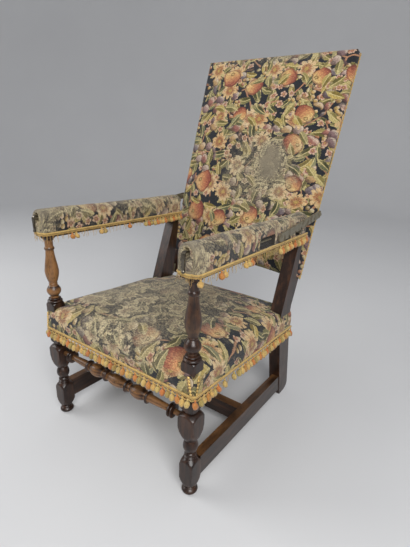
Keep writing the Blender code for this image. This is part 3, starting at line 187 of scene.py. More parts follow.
class Signal:
    """A value, vector or colour that changes over a surface, written with as in a formula."""

    def __init__(self, graph, socket):
        self.graph = graph
        self.socket = socket

    def __add__(self, other):
        return self.graph.formula("ADD", self, other)

    def __radd__(self, other):
        return self.graph.formula("ADD", other, self)

    def __sub__(self, other):
        return self.graph.formula("SUBTRACT", self, other)

    def __rsub__(self, other):
        return self.graph.formula("SUBTRACT", other, self)

    def __mul__(self, other):
        return self.graph.formula("MULTIPLY", self, other)

    def __truediv__(self, other):
        return self.graph.formula("DIVIDE", self, other)

    def __rtruediv__(self, other):
        return self.graph.formula("DIVIDE", other, self)

    def __pow__(self, power):
        return self.graph.math("POWER", self, power)

    def __abs__(self):
        return self.graph.math("ABSOLUTE", self)

    def sine(self):
        return self.graph.math("SINE", self)

    def length(self):
        return self.graph.vector("LENGTH", self)

    def parts(self):
        """The three parts of a vector or colour."""
        made = self.graph.node("SeparateXYZ", {0: self})
        return [self.graph.out(made, i) for i in range(3)]

    def step(self, low, high):
        """A smooth step between two values: rising from 0 to 1, or falling where low is the larger."""
        falling = low > high
        inputs = {0: self, 1: min(low, high), 2: max(low, high), 3: float(falling), 4: float(not falling)}
        return self.graph.out(self.graph.node("MapRange", inputs, interpolation_type="SMOOTHSTEP"))

    def spread(self, low, high):
        """A share from 0 to 1 spread over a range."""
        return self.graph.out(self.graph.node("MapRange", {0: self, 3: low, 4: high}))

    def ramp(self, colours, steps=False):
        """Colours laid evenly over a share from 0 to 1, stepped or blended."""
        made = self.graph.node("ValToRGB", {0: self})
        made.color_ramp.interpolation = "CONSTANT" if steps else "LINEAR"
        marks = made.color_ramp.elements
        marks.remove(marks[1])
        marks[0].position = 0.0
        marks[0].color = (*colours[0], 1)
        last = len(colours) if steps else len(colours) - 1
        for i, colour in enumerate(colours[1:], 1):
            marks.new(i / last).color = (*colour, 1)
        return self.graph.out(made)

    def mix(self, other, share):
        """This colour with a share of another over it."""
        return self.graph.mix(self, other, share)

    def tinted(self, tone):
        """This colour multiplied by another."""
        return self.graph.mix(self, tone, 1.0, "MULTIPLY")


class Graph:
    """A node tree with short calls that add a node and give what it puts out as a signal."""

    def __init__(self, tree):
        self.tree = tree

    def feed(self, socket, value):
        """Link a signal to an input, or set a constant on it."""
        if isinstance(value, Signal):
            self.tree.links.new(value.socket, socket)
        elif socket.type == "RGBA":
            socket.default_value = (*value, 1)
        else:
            socket.default_value = value

    def node(self, kind, inputs, **settings):
        """Add a node with its settings, and feed its inputs by name or number."""
        made = self.tree.nodes.new("ShaderNode" + kind)
        for name, value in settings.items():
            setattr(made, name, value)
        for key, value in inputs.items():
            self.feed(made.inputs[key], value)
        return made

    def out(self, made, key=0):
        """One of a node's outputs as a signal."""
        return Signal(self, made.outputs[key])

    def math(self, operation, *values):
        return self.out(self.node("Math", dict(enumerate(values)), operation=operation))

    def vector(self, operation, *values):
        made = self.node("VectorMath", dict(enumerate(values)), operation=operation)
        return self.out(made, "Value" if operation in ("LENGTH", "DOT_PRODUCT") else "Vector")

    def formula(self, operation, first, second):
        """Arithmetic on two values or two vectors; a vector with a value is scaled by it."""
        vectors = [
            isinstance(value, tuple) or isinstance(value, Signal) and value.socket.type != "VALUE"
            for value in (first, second)
        ]
        if all(vectors):
            return self.vector(operation, first, second)
        if any(vectors):
            return self.out(self.node("VectorMath", {0: first, "Scale": second}, operation="SCALE"))
        return self.math(operation, first, second)

    def mix(self, first, second, share, blend="MIX"):
        made = self.node("Mix", {}, data_type="RGBA", blend_type=blend)
        for key, value in ((0, share), (6, first), (7, second)):
            self.feed(made.inputs[key], value)
        return self.out(made, 2)

    def noise(self, where, scale, detail=2.0, roughness=0.5, out="Fac"):
        inputs = {"Vector": where, "Scale": scale, "Detail": detail, "Roughness": roughness}
        return self.out(self.node("TexNoise", inputs), out)

    def cells(self, where, size, feature="F1", randomness=0.9):
        """Random cells of about a size in the plane."""
        made = self.node("TexVoronoi", {}, voronoi_dimensions="2D", feature=feature)
        for key, value in (("Vector", where), ("Scale", 1 / size), ("Randomness", randomness)):
            self.feed(made.inputs[key], value)
        return made

    def turned(self, vector, angle):
        return self.out(self.node("VectorRotate", {"Vector": vector, "Angle": angle}, rotation_type="Z_AXIS"))

    def attribute(self, name, out):
        return self.out(self.node("Attribute", {}, attribute_name=name), out)

    def where(self, out="Object"):
        """The place on the piece, or the way its surface faces."""
        return self.out(self.node("TexCoord", {}), out)

    def use(self, group, **inputs):
        """Add a node group, feed its inputs, and give its outputs by name."""
        made = self.node("Group", inputs, node_tree=group)
        return {socket.name: Signal(self, socket) for socket in made.outputs}


class Finish(Graph):
    """The node tree of a new material with a Principled shader."""

    def __init__(self, name):
        self.material = bpy.data.materials.new(name)
        self.material.use_nodes = True
        super().__init__(self.material.node_tree)

    def done(self, inputs, relief=None, depth=0.0, strength=1.0):
        """Feed the shader's inputs, add relief to its normal, and give the material."""
        shader = self.tree.nodes["Principled BSDF"]
        for key, value in inputs.items():
            self.feed(shader.inputs[key], value)
        if relief:
            made = self.node("Bump", {"Height": relief, "Distance": depth, "Strength": strength})
            self.feed(shader.inputs["Normal"], self.out(made))
        return self.material


def new_group(name, inputs, outputs):
    """An empty shader node group, its inputs as signals by name, and the sockets it gives."""
    tree = bpy.data.node_groups.new(name, "ShaderNodeTree")
    for sockets, way in ((inputs, "INPUT"), (outputs, "OUTPUT")):
        for label, kind in sockets.items():
            tree.interface.new_socket(label, in_out=way, socket_type="NodeSocket" + kind)
    graph = Graph(tree)
    take = {socket.name: Signal(graph, socket) for socket in tree.nodes.new("NodeGroupInput").outputs}
    return graph, take, tree.nodes.new("NodeGroupOutput").inputs


# Tapestry

STITCH = 0.0017
GROUND_SHADE = (0.008, 0.009, 0.012)
GROUND_COLOUR = (0.024, 0.027, 0.034)
CANVAS_COLOUR = (0.200, 0.172, 0.125)
BRANCH = (0.350, 0.180, 0.100)
LEAF_COLOURS = (
    (0.370, 0.285, 0.090), (0.260, 0.215, 0.075), (0.430, 0.355, 0.145), (0.165, 0.150, 0.058),
    (0.300, 0.260, 0.120), (0.420, 0.310, 0.090), (0.110, 0.115, 0.055), (0.215, 0.210, 0.115),
)
LEAF_EDGE = (0.500, 0.415, 0.190)
LEAF_VEIN = (0.060, 0.060, 0.034)
LEAF_SHADE = (0.45, 0.44, 0.36)
FRUIT_COLOURS = (
    (0.150, 0.042, 0.030), (0.310, 0.098, 0.058), (0.460, 0.212, 0.092),
    (0.550, 0.365, 0.145), (0.610, 0.475, 0.235),
)
FRUIT_TINT = (0.92, 0.70, 0.80)
FRUIT_OUTLINE = (0.130, 0.036, 0.026)
CALYX = (0.190, 0.105, 0.040)
CALYX_EYE = (0.470, 0.350, 0.150)
PETAL_COLOURS = (
    (0.236, 0.096, 0.054), (0.412, 0.220, 0.115), (0.525, 0.362, 0.195), (0.582, 0.466, 0.292),
)
ROSE_COLOURS = (
    (0.210, 0.065, 0.055), (0.390, 0.180, 0.140), (0.500, 0.320, 0.240), (0.560, 0.430, 0.320),
)
PETAL_TINT = (0.95, 0.78, 0.50)
PETAL_FOLD = (0.110, 0.055, 0.038)
FLOWER_EYE = (0.400, 0.270, 0.080)
PLUM_COLOURS = (
    (0.190, 0.120, 0.120), (0.290, 0.190, 0.170), (0.340, 0.245, 0.205), (0.270, 0.110, 0.085),
    (0.150, 0.120, 0.130), (0.380, 0.240, 0.110),
)
BERRY_COLOURS = (
    (0.450, 0.310, 0.110), (0.360, 0.160, 0.080), (0.470, 0.390, 0.210), (0.410, 0.260, 0.080),
)
BERRY_LIGHT = (0.600, 0.510, 0.390)
BERRY_SHADE = (0.050, 0.028, 0.026)
BERRY_OUTLINE = (0.080, 0.042, 0.034)
FADED = (
    (0.022, 0.021, 0.021), (0.084, 0.071, 0.056), (0.238, 0.196, 0.137),
    (0.450, 0.382, 0.247), (0.610, 0.545, 0.382),
)
MOTTLED = (
    (0.030, 0.027, 0.027), (0.084, 0.070, 0.058), (0.205, 0.167, 0.108),
    (0.460, 0.386, 0.217), (0.620, 0.545, 0.340),
)
FRAYED = (0.430, 0.380, 0.250)
STITCH_TONES = ((0.64, 0.64, 0.64), (1.30, 1.28, 1.24))
WEFT_TONES = ((0.55, 0.55, 0.55), (1.45, 1.42, 1.36))
LIGHT_FROM = (0.6, 0.8, 0)
FLAT = (1, 1, 0)

# The needlework in progress: its node tree, the place on it, and a hatching that breaks up its shades
Needlework = namedtuple("Needlework", "graph place hatch")


def motif(work, size, shift, randomness):
    """One place in each random cell: the offset from it, and three random shares."""
    here = work.place + (shift, shift * 1.7, 0)
    cell = work.graph.cells(here, size, randomness=randomness)
    return here - work.graph.out(cell, "Position"), work.graph.out(cell, "Color").parts()


def chosen(chance, share):
    """1 in the share of the cells that hold a motif."""
    return chance[1].step(share + 0.01, share)


def leaves(work, under, size, shift, share):
    """Pointed leaves with a midrib, side veins, a shaded half and a pale edge."""
    offset, chance = motif(work, size, shift, 0.85)
    x, y, _ = work.graph.turned(offset, chance[0] * TAU).parts()
    along = x / (0.60 * size)
    bow = 1.0 - along * along
    y = y - bow * (0.07 * size)
    away = abs(y)
    saw = work.graph.math("PINGPONG", x + away * 0.8, 0.0050)
    inside = bow * (0.225 * size) + saw * 0.55 - away
    colour = chance[2].ramp(LEAF_COLOURS, steps=True)
    colour = colour.mix(colour.tinted(LEAF_SHADE), (y + work.hatch * 0.012).step(0.0016, -0.0016))
    colour = colour.mix(LEAF_EDGE, (along + work.hatch * 1.6).step(0.25, 0.85) * 0.70)
    colour = colour.mix(LEAF_VEIN, saw.step(0.0036, 0.0048) * 0.45)
    colour = colour.mix(LEAF_EDGE, away.step(0.0020, 0.0010))
    colour = colour.mix(LEAF_EDGE, inside.step(0.0034, 0.0014) * chance[1])
    return under.mix(colour, inside.step(0.0, 0.0008) * chosen(chance, share))


def berries(work, under, size, shift, share, radius, palette):
    """Berries and plums in bunches, with a light side and a dark outline."""
    offset, chance = motif(work, size, shift, 0.7)
    x, y, _ = work.graph.turned(offset, chance[0] * 2.4).parts()
    oval = work.graph.out(work.graph.node("CombineXYZ", {"X": x, "Y": y * 0.84}))
    away = oval.length() / radius
    light = work.graph.vector("DOT_PRODUCT", offset, LIGHT_FROM) / radius + work.hatch * 1.6
    colour = chance[2].ramp(palette, steps=True)
    colour = colour.mix(colour.mix(BERRY_LIGHT, 0.62), light.step(0.10, 0.70))
    colour = colour.mix(colour.mix(BERRY_SHADE, 0.66), light.step(-0.10, -0.70))
    colour = colour.mix(BERRY_OUTLINE, away.step(0.82, 0.95))
    bunch = work.graph.noise(work.place + (shift, 0, 0), 10, 1).step(0.50, 0.54)
    return under.mix(colour, away.step(1.03, 0.97) * chosen(chance, share) * bunch)


def flowers(work, under, size, shift, share, radius, petals, palette):
    """Flowers with ragged petals, dark folds between them and a yellow eye."""
    offset, chance = motif(work, size, shift, 0.7)
    x, y, _ = work.graph.turned(offset, chance[0] * TAU).parts()
    ragged = (work.graph.noise(work.place, 90, 2) - 0.5) * 4.0
    angle = work.graph.math("ARCTAN2", y, x) * (petals / 2)
    lobe = abs(work.graph.math("COSINE", angle + ragged))
    away = offset.length() / ((0.55 + lobe * 0.45) * radius)
    rings = (away * 11.0).sine() * 0.20
    colour = (away ** 1.2 + (rings + work.hatch * 1.2)).ramp(palette)
    colour = colour.mix(colour.tinted(PETAL_TINT), chance[2] * 0.55)
    colour = colour.mix(PETAL_FOLD, lobe.step(0.40, 0.08) * 0.85)
    colour = colour.mix(FLOWER_EYE, away.step(0.26, 0.18))
    return under.mix(colour, away.step(1.03, 0.98) * chosen(chance, share))


def fruits(work, under, size, shift, share, radius):
    """Large apples and pomegranates: a red side, a pale side, a calyx and a soft dark outline."""
    offset, chance = motif(work, size, shift, 0.75)
    turned = work.graph.turned(offset, chance[0] * TAU)
    _, y, _ = turned.parts()
    wavy = (work.graph.noise(work.place, 26, 1) - 0.5) * 0.50
    reach = (chance[2].spread(0.72, 1.10) + wavy) * radius
    away = offset.length() / reach
    colour = (y / reach * 0.46 + 0.52 + work.hatch * 1.1).ramp(FRUIT_COLOURS)
    colour = colour.mix(colour.tinted(FRUIT_TINT), chance[2].step(0.35, 0.9) * 0.55)
    calyx = (turned - (0.006, 0.42 * radius, 0)).length()
    calyx = calyx + (work.graph.noise(work.place, 190, 1) - 0.5) * 0.012
    colour = colour.mix(CALYX, calyx.step(0.0090, 0.0066))
    colour = colour.mix(CALYX_EYE, calyx.step(0.0048, 0.0034))
    colour = colour.mix(FRUIT_OUTLINE, (away + work.hatch * 0.5).step(0.78, 0.98) * 0.80)
    return under.mix(colour, away.step(1.03, 0.98) * chosen(chance, share))


def needlework(graph, stitch, ground):
    """The stitched picture, laid from the ground up; no two stitches have quite the same tone."""
    drift = graph.noise(stitch, 13, 2, out="Color") - (0.5, 0.5, 0.5)
    place = (stitch + drift * 0.026) * FLAT
    hatch = graph.noise(stitch * (90, 420, 1), 1.0, 2) - 0.5
    work = Needlework(graph, place, hatch)
    colour = graph.noise(place, 14, 2).ramp((GROUND_SHADE, ground))
    colour = leaves(work, colour, size=0.050, shift=0.31, share=0.70)
    border = graph.out(graph.cells(place, 0.125, "DISTANCE_TO_EDGE"), "Distance")
    twig = border.step(0.030, 0.018) * graph.noise(place, 13, 1).step(0.42, 0.46)
    colour = colour.mix(BRANCH, twig)
    colour = berries(work, colour, size=0.019, shift=0.77, share=0.60, radius=0.0082, palette=BERRY_COLOURS)
    colour = leaves(work, colour, size=0.062, shift=1.13, share=0.66)
    colour = flowers(
        work, colour, size=0.034, shift=2.41, share=0.30, radius=0.0140, petals=5, palette=ROSE_COLOURS
    )
    colour = berries(work, colour, size=0.043, shift=3.07, share=0.70, radius=0.0195, palette=PLUM_COLOURS)
    colour = flowers(
        work, colour, size=0.100, shift=4.19, share=0.45, radius=0.0400, petals=9, palette=PETAL_COLOURS
    )
    colour = fruits(work, colour, size=0.140, shift=5.53, share=0.52, radius=0.0420)
    colour = leaves(work, colour, size=0.056, shift=6.71, share=0.34)
    single = graph.out(graph.node("TexWhiteNoise", {"Vector": stitch * 977.0}), "Value")
    return colour.tinted(single.ramp(STITCH_TONES))


def worn_needlework(graph, colour, cloth, wear, canvas):
    """Needlework with its fading, mottling, frayed threads and bald places, and the threads that stand up."""
    thin = wear + (graph.noise(cloth, 30, 5, 0.65) - 0.5) * 0.85
    tone = graph.out(graph.node("RGBToBW", {0: colour}))
    faded = ((tone * 1.7) ** 0.75).ramp(FADED)
    colour = colour.mix(faded, thin.step(-0.05, 0.85) * 0.86)
    speckle = graph.noise(cloth * (150, 210, 1), 1.0, 4, 0.68).step(0.28, 0.74) + (tone - 0.16) * 0.9
    colour = colour.mix(speckle.ramp(MOTTLED), thin.step(0.20, 0.75) * 0.66)
    contour = abs(graph.noise(cloth, 62, 3, 0.6) - 0.5)
    thread = contour.step(0.014, 0.004) * thin.step(0.15, 0.60)
    colour = colour.mix(FRAYED, thread * 0.60)
    weft = graph.noise(cloth * (45, 700, 1), 1.0, 3)
    bald = (thin + (weft - 0.5) * 0.9).step(0.78, 1.40)
    bare = graph.mix(canvas, weft.ramp(WEFT_TONES), 1.0, "MULTIPLY")
    return colour.mix(bare, bald * 0.90), thread


@cache
def tapestry(ground, canvas):
    """Worn floral needlepoint of the covers, with the colours of its ground and of its bare canvas."""
    graph, take, give = new_group(
        "Needlepoint Flowers", {"Cloth": "Vector", "Wear": "Float"}, {"Color": "Color", "Height": "Float"}
    )
    cloth = take["Cloth"] * FLAT
    stitch = graph.vector("SNAP", cloth, (STITCH,) * 3) + (STITCH / 2, STITCH / 2, 0)
    picture = needlework(graph, stitch, ground)
    colour, thread = worn_needlework(graph, picture, cloth, take["Wear"], canvas)
    u, v, _ = (cloth * (math.pi / STITCH)).parts()
    knots = abs(u.sine()) * abs(v.sine())
    pile = graph.noise(cloth, 160, 3) * 0.8
    graph.feed(give["Color"], colour)
    graph.feed(give["Height"], knots + pile + thread)

    finish = Finish("tapestry_cover")
    cloth, wear = finish.attribute("cloth", "Vector"), finish.attribute("wear", "Fac")
    out = finish.use(graph.tree, Cloth=cloth, Wear=wear)
    inputs = {
        "Base Color": out["Color"], "Roughness": 0.92, "Specular IOR Level": 0.25, "Sheen Weight": 0.10,
    }
    return finish.done(inputs, out["Height"], 0.0007, 0.55)


# Linen, gold thread, wood, iron and brass

SACKCLOTH = (0.26, 0.20, 0.125)
# Near-black cloth lining the arm openings: painted shade inside them
PAINTED_SHADE_LINING = (0.030, 0.024, 0.018)
JUTE = (0.300, 0.225, 0.130)
LINEN_COLOUR = (0.330, 0.265, 0.175)
STAIN = (0.50, 0.45, 0.40)
GOLD_COLOURS = (
    (0.470, 0.265, 0.068), (0.660, 0.400, 0.110), (0.610, 0.440, 0.140),
    (0.290, 0.225, 0.050), (0.620, 0.200, 0.036), (0.330, 0.075, 0.022),
)
GOLD_FADED = (0.240, 0.130, 0.040)
# Painted shade for the grooves between the gold strands
GOLD_SHADE = (0.070, 0.035, 0.012)
WALNUT_COLOURS = ((0.010, 0.0046, 0.0030), (0.027, 0.0115, 0.0064), (0.060, 0.025, 0.012))
# Honey of rubbed walnut, also used for the far front post's painted highlight
WALNUT_RUBBED_AND_LIT = ((0.150, 0.062, 0.020), (0.380, 0.185, 0.062))
WALNUT_PORE = (0.007, 0.004, 0.003)
BEECH_COLOURS = ((0.085, 0.048, 0.024), (0.210, 0.125, 0.066))
BEECH_DIRT = (0.055, 0.034, 0.020)
IRON_COLOUR = (0.270, 0.240, 0.170)
IRON_PATINA = (0.140, 0.112, 0.066)
IRON_SCRATCH = (0.36, 0.34, 0.30)
BRASS_COLOUR = (0.760, 0.520, 0.180)
BRASS_TARNISH = (0.240, 0.140, 0.045)
GRAIN_UP = (70.0, 70.0, 9.0)
GRAIN_DEEP = (70.0, 9.0, 70.0)
GRAIN_ACROSS = (9.0, 70.0, 70.0)


@cache
def weave_group():
    """Plain weave: warp over weft in a checker, with slubs."""
    graph, take, give = new_group(
        "Plain Weave", {"Cloth": "Vector", "Thread": "Float"}, {"Shade": "Float", "Height": "Float"}
    )
    u, v, _ = (take["Cloth"] * (math.pi / take["Thread"])).parts()
    warp, weft = u.sine(), v.sine()
    over = warp * weft
    ridge = abs(warp) * over.step(-0.2, 0.2) + abs(weft) * over.step(0.2, -0.2)
    slub = graph.noise(take["Cloth"] * (35, 420, 35), 1.0, 3)
    graph.feed(give["Height"], ridge)
    graph.feed(give["Shade"], ridge * 0.35 + slub * 0.65)
    return graph.tree


@cache
def linen(name, thread, light):
    """Undyed linen, sackcloth or jute with threads of a width, browned by age; made near-black, it lines the
    arm openings as painted shade.
    """
    finish = Finish(name)
    cloth = finish.attribute("cloth", "Vector")
    out = finish.use(weave_group(), Cloth=cloth, Thread=thread)
    colour = out["Shade"].ramp((tuple(0.32 * channel for channel in light), light))
    stain = tuple(tone * channel for tone, channel in zip(STAIN, light))
    stained = finish.noise(cloth, 7, 4).step(0.48, 0.74) * 0.55
    inputs = {"Base Color": colour.mix(stain, stained), "Roughness": 0.95, "Sheen Weight": 0.08}
    return finish.done(inputs, out["Height"], 0.0005, 0.7)


@cache
def gold_thread():
    """Gold, orange and olive silk of the gimp and tassels, with painted shade in the grooves between strands.
    """
    finish = Finish("gold_thread")
    where = finish.where()
    colour = finish.attribute("tint", "Fac").ramp(GOLD_COLOURS)
    colour = colour.mix(GOLD_FADED, finish.noise(where, 55, 3).step(0.46, 0.70) * 0.40)
    strand = finish.noise(where * (2200, 2200, 240), 1.0, 2)
    # Painted shade: darker where the strands' relief is low, in the grooves between them
    colour = colour.mix(colour.mix(GOLD_SHADE, 0.6), strand.step(0.56, 0.36))
    inputs = {"Base Color": colour, "Roughness": strand.spread(0.85, 0.55), "Sheen Weight": 0.20}
    return finish.done(inputs, strand, 0.0006, 0.7)


@cache
def walnut_group():
    """Waxed dark walnut: figure along the grain, pores, and honey where the Wear input is high, which holds
    rubbed high places, faces that point up, and the far front post's painted highlight.
    """
    graph, take, give = new_group(
        "Waxed Walnut", {"Along": "Vector", "Wear": "Float"},
        {"Color": "Color", "Roughness": "Float", "Height": "Float"},
    )
    along = take["Along"]
    figure = graph.noise(along, 1.0, 5, 0.6)
    pores = graph.noise(along * (7, 7, 5), 1.0, 2)
    blotch = graph.noise(along * (0.35, 0.35, 2.5), 1.0, 3)
    # The Wear input holds rubbing and, on the far front post, a painted highlight
    rubbed = (take["Wear"] + (blotch - 0.5) * 0.9).step(0.40, 1.0)
    colour = figure.step(0.30, 0.72).ramp(WALNUT_COLOURS)
    colour = colour.mix(figure.ramp(WALNUT_RUBBED_AND_LIT), rubbed * 0.80)
    colour = colour.mix(WALNUT_PORE, pores.step(0.42, 0.33) * 0.7)
    graph.feed(give["Color"], colour)
    graph.feed(give["Roughness"], blotch.spread(0.24, 0.44) + rubbed * 0.08)
    graph.feed(give["Height"], pores * 0.5 + figure * 0.5)
    return graph.tree


@cache
def walnut(name, grain, turned):
    """Walnut with its grain along an axis; turned pieces carry their own wear, which on the far front post
    also holds a painted highlight, and sawn ones turn honey on faces that point up.
    """
    finish = Finish(name)
    if turned:
        wear = finish.attribute("wear", "Fac")
    else:
        _, _, facing = finish.where("Normal").parts()
        # Honey on faces that point up, set only by the way each face points
        wear = facing.step(0.35, 0.95) * 0.62
    out = finish.use(walnut_group(), Along=finish.where() * grain, Wear=wear)
    inputs = {
        "Base Color": out["Color"], "Roughness": out["Roughness"], "Specular IOR Level": 0.38,
        "Coat Weight": 0.12, "Coat Roughness": 0.16,
    }
    return finish.done(inputs, out["Height"], 0.0006, 0.35)


@cache
def beech():
    """Plain, dusty frame wood under the covers."""
    finish = Finish("frame_wood")
    where = finish.where()
    figure = finish.noise(where * (12, 90, 60), 1.0, 4)
    dirt = finish.noise(where, 16, 4)
    colour = figure.ramp(BEECH_COLOURS).mix(BEECH_DIRT, dirt.step(0.44, 0.70))
    return finish.done({"Base Color": colour, "Roughness": dirt.spread(0.62, 0.85)}, figure, 0.0006, 0.5)


@cache
def iron(name, tone, sheen):
    """Forged iron: hammer marks, brown-olive patina and scratches; sheen polishes it from 0 to 1."""
    finish = Finish(name)
    where = finish.where()
    patina = finish.noise(where, 38, 5, 0.65).step(0.46, 0.64)
    scratches = finish.noise(where * (900, 60, 900), 1.0, 2)
    colour = finish.mix(IRON_COLOUR, IRON_PATINA, patina)
    colour = colour.mix(IRON_SCRATCH, scratches.step(0.60, 0.72) * 0.5).tinted(tone)
    inputs = {
        "Base Color": colour,
        "Metallic": patina.spread(0.75 + 0.20 * sheen, 0.30 + 0.50 * sheen),
        "Roughness": patina.spread(0.36 - 0.12 * sheen, 0.72 - 0.34 * sheen),
    }
    return finish.done(inputs, finish.noise(where, 130, 1) + scratches * 0.2, 0.0006, 0.35)


@cache
def brass(colour):
    """Tarnished brass of the dome-headed nails."""
    finish = Finish("nail_brass")
    where = finish.where()
    tarnish = finish.noise(where, 120, 3).step(0.52, 0.74)
    inputs = {
        "Base Color": finish.mix(colour, BRASS_TARNISH, tarnish), "Roughness": tarnish.spread(0.28, 0.58),
        "Metallic": 0.75,
    }
    return finish.done(inputs, finish.noise(where, 420, 2), 0.0003, 0.4)


# Pieces


class Shape:
    """Points and faces of a piece while it is made, with named values for each point."""

    def __init__(self, *values):
        self.points = []
        self.faces = []
        self.values = {name: [] for name in values}

    def add(self, point, **values):
        """Add a point with its values, and give its number."""
        self.points.append(point)
        for name, value in values.items():
            self.values[name].append(value)
        return len(self.points) - 1

    def bridge(self, first, second, closed=True):
        """Faces between two rows of the same length."""
        count = len(first)
        for i in range(count if closed else count - 1):
            j = (i + 1) % count
            self.faces.append((first[i], first[j], second[j], second[i]))

    def skin(self, rows, closed=True):
        """Faces over a run of rows."""
        for first, second in zip(rows, rows[1:]):
            self.bridge(first, second, closed)

    def tube(self, rings):
        """Faces round a run of rings, with both ends closed."""
        self.skin(rings)
        self.faces.append(tuple(reversed(rings[0])))
        self.faces.append(tuple(rings[-1]))

    def cap(self, rings, tip):
        """Faces round a run of rings that ends in a tip."""
        self.skin(rings)
        self.faces.append(tuple(reversed(rings[0])))
        last = rings[-1]
        for k in range(len(last)):
            self.faces.append((last[k], last[(k + 1) % len(last)], tip))

    def mesh(self, name):
        """The piece's mesh, with its values as attributes."""
        made = bpy.data.meshes.new(name)
        made.from_pydata([tuple(p) for p in self.points], [], self.faces)
        for key, data in self.values.items():
            if isinstance(data[0], float):
                layer = made.attributes.new(key, "FLOAT", "POINT")
                layer.data.foreach_set("value", data)
            else:
                layer = made.attributes.new(key, "FLOAT_VECTOR", "POINT")
                layer.data.foreach_set("vector", [c for v in data for c in v])
        made.shade_smooth()
        return made


def add_piece(name, mesh, materials, body, nodes=()):
    """Put a mesh in the scene as a piece that rides a body and stands for CAD nodes."""
    obj = bpy.data.objects.new(name, mesh)
    bpy.context.scene.collection.objects.link(obj)
    for made in materials:
        mesh.materials.append(made)
    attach(obj, body)
    if nodes:
        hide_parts(*nodes)
    return obj


def outward(mesh):
    """Split the many-sided closing faces of a mesh, and turn every face outwards."""
    bm = bmesh.new()
    bm.from_mesh(mesh)
    bmesh.ops.triangulate(bm, faces=[face for face in bm.faces if len(face.verts) > 8])
    bmesh.ops.recalc_face_normals(bm, faces=bm.faces)
    bm.to_mesh(mesh)
    bm.free()


# Covers

STUFFING_FRAMES = 20
COVER_STIFFNESS = 12
COVER_BENDING = 0.4
WALL_BULGE = 0.0022
SEAT_FILL, BACK_FILL, ARM_FILL = 0.75, 0.7, 0.8

# Where the covers are worn: how much, and the middle and size of each soft patch
SEAT_WORN = 0.20
SEAT_PATCHES = (
    (0.48, (-0.04, -0.02), (0.36, 0.38)),
    (0.22, (-0.21, -0.16), (0.11, 0.10)),
    (0.25, (0.02, -0.31), (0.26, 0.06)),
    (0.22, (0.13, -0.20), (0.10, 0.09)),
)
BACK_PATCHES = (
    (0.85, (0.100, 0.515), (0.080, 0.110)),
    (0.45, (0.06, 0.49), (0.27, 0.22)),
    (0.30, (-0.10, 0.95), (0.34, 0.06)),
    (0.25, (0.12, 0.94), (0.20, 0.05)),
    (0.10, (0.0, 0.25), (0.35, 0.25)),
)


def patched(x, y, patches):
    """How worn a place is by soft round patches, each full in its middle and gone at its rim."""
    worn = 0.0
    for depth, middle, size in patches:
        away = math.hypot((x - middle[0]) / size[0], (y - middle[1]) / size[1])
        worn += depth * (1 - smooth(away, 0.35, 1.0))
    return worn


def seat_wear(x, y):
    """Where sitters have greyed and thinned the seat cover."""
    return SEAT_WORN + patched(x, y, SEAT_PATCHES)


def back_wear(x, z):
    """The bald patch where a head or hands rubbed the back, with a faded halo."""
    return patched(x, z, BACK_PATCHES)


def arm_wear(y, up):
    """Hands have greyed the arms, most of all on top, and rubbed the fronts to cream."""
    worn = 0.33 + 0.24 * smooth(up, 0.045, 0.080) + 0.60 * (1 - smooth(y - ARM_FRONT, 0.01, 0.07))
    return worn + bumps(0.25, y * 7, up * 20, 3.3)


def stuffed(obj, held, pressure, limit):
    """Swell a cover under pressure where it isn't held, and keep each point near where it started."""
    group = obj.vertex_groups.new(name="held")
    for i, weight in enumerate(held):
        if weight > 0:
            group.add([i], weight, "REPLACE")
    cloth = obj.modifiers.new("Stuffing", "CLOTH")
    cloth.settings.use_pressure = True
    cloth.settings.uniform_pressure_force = pressure
    cloth.settings.vertex_group_mass = "held"
    cloth.settings.tension_stiffness = COVER_STIFFNESS
    cloth.settings.compression_stiffness = COVER_STIFFNESS
    cloth.settings.bending_stiffness = COVER_BENDING
    cloth.settings.effector_weights.gravity = 0
    cloth.collision_settings.use_collision = False
    scene = bpy.context.scene
    for number in range(1, STUFFING_FRAMES + 1):
        scene.frame_set(number)
    swollen = obj.evaluated_get(bpy.context.evaluated_depsgraph_get())
    ends = [v.co.copy() for v in swollen.data.vertices]
    obj.modifiers.remove(cloth)
    obj.vertex_groups.remove(group)
    scene.frame_set(1)
    for vertex, last, weight in zip(obj.data.vertices, ends, held):
        move = (last - vertex.co) * (1 - weight)
        if move.length > limit:
            move *= limit / move.length
        vertex.co = vertex.co + move
    obj.data.update()


def finish_cover(obj, fill):
    """One subdivision over a stuffed cover."""
    rounder = obj.modifiers.new("Fullness", "SUBSURF")
    rounder.levels = 1
    rounder.render_levels = 1


def rounded_plan(x, y, half_x, half_y, radius):
    """A point of a rectangle moved so that the corners round off, and its distance in from the rim."""
    over_x, over_y = abs(x) - (half_x - radius), abs(y) - (half_y - radius)
    if over_x <= 0 or over_y <= 0:
        return x, y, min(half_x - abs(x), half_y - abs(y))
    reach, other = max(over_x, over_y), min(over_x, over_y)
    angle = math.pi / 4 * other / reach
    a, b = reach * math.cos(angle), reach * math.sin(angle)
    if over_y > over_x:
        a, b = b, a
    return math.copysign(half_x - radius + a, x), math.copysign(half_y - radius + b, y), radius - reach


def even(count):
    """Even shares from -1 to 1, closer together near the ends."""
    shares = [2 * i / count - 1 for i in range(count + 1)]
    return [0.35 * math.sin(math.pi / 2 * share) + 0.65 * share for share in shares]


def levels(start, end, count):
    """Even heights from start to end."""
    return [start + (end - start) * i / count for i in range(count + 1)]


def rim_of(grid):
    """The outer loop of a grid, as rows and columns."""
    rows, columns = len(grid) - 1, len(grid[0]) - 1
    loop = [(0, j) for j in range(columns)] + [(i, columns) for i in range(rows)]
    return loop + [(rows, j) for j in range(columns, 0, -1)] + [(i, 0) for i in range(rows, 0, -1)]


def rim_normal(points, k):
    """Outward direction at a place on a closed plane loop that runs anticlockwise."""
    ahead = points[(k + 1) % len(points)] - points[k - 1]
    return Vector((ahead.y, -ahead.x)).normalized()


# A place in a plan, kept at full precision
Place = namedtuple("Place", "x y")


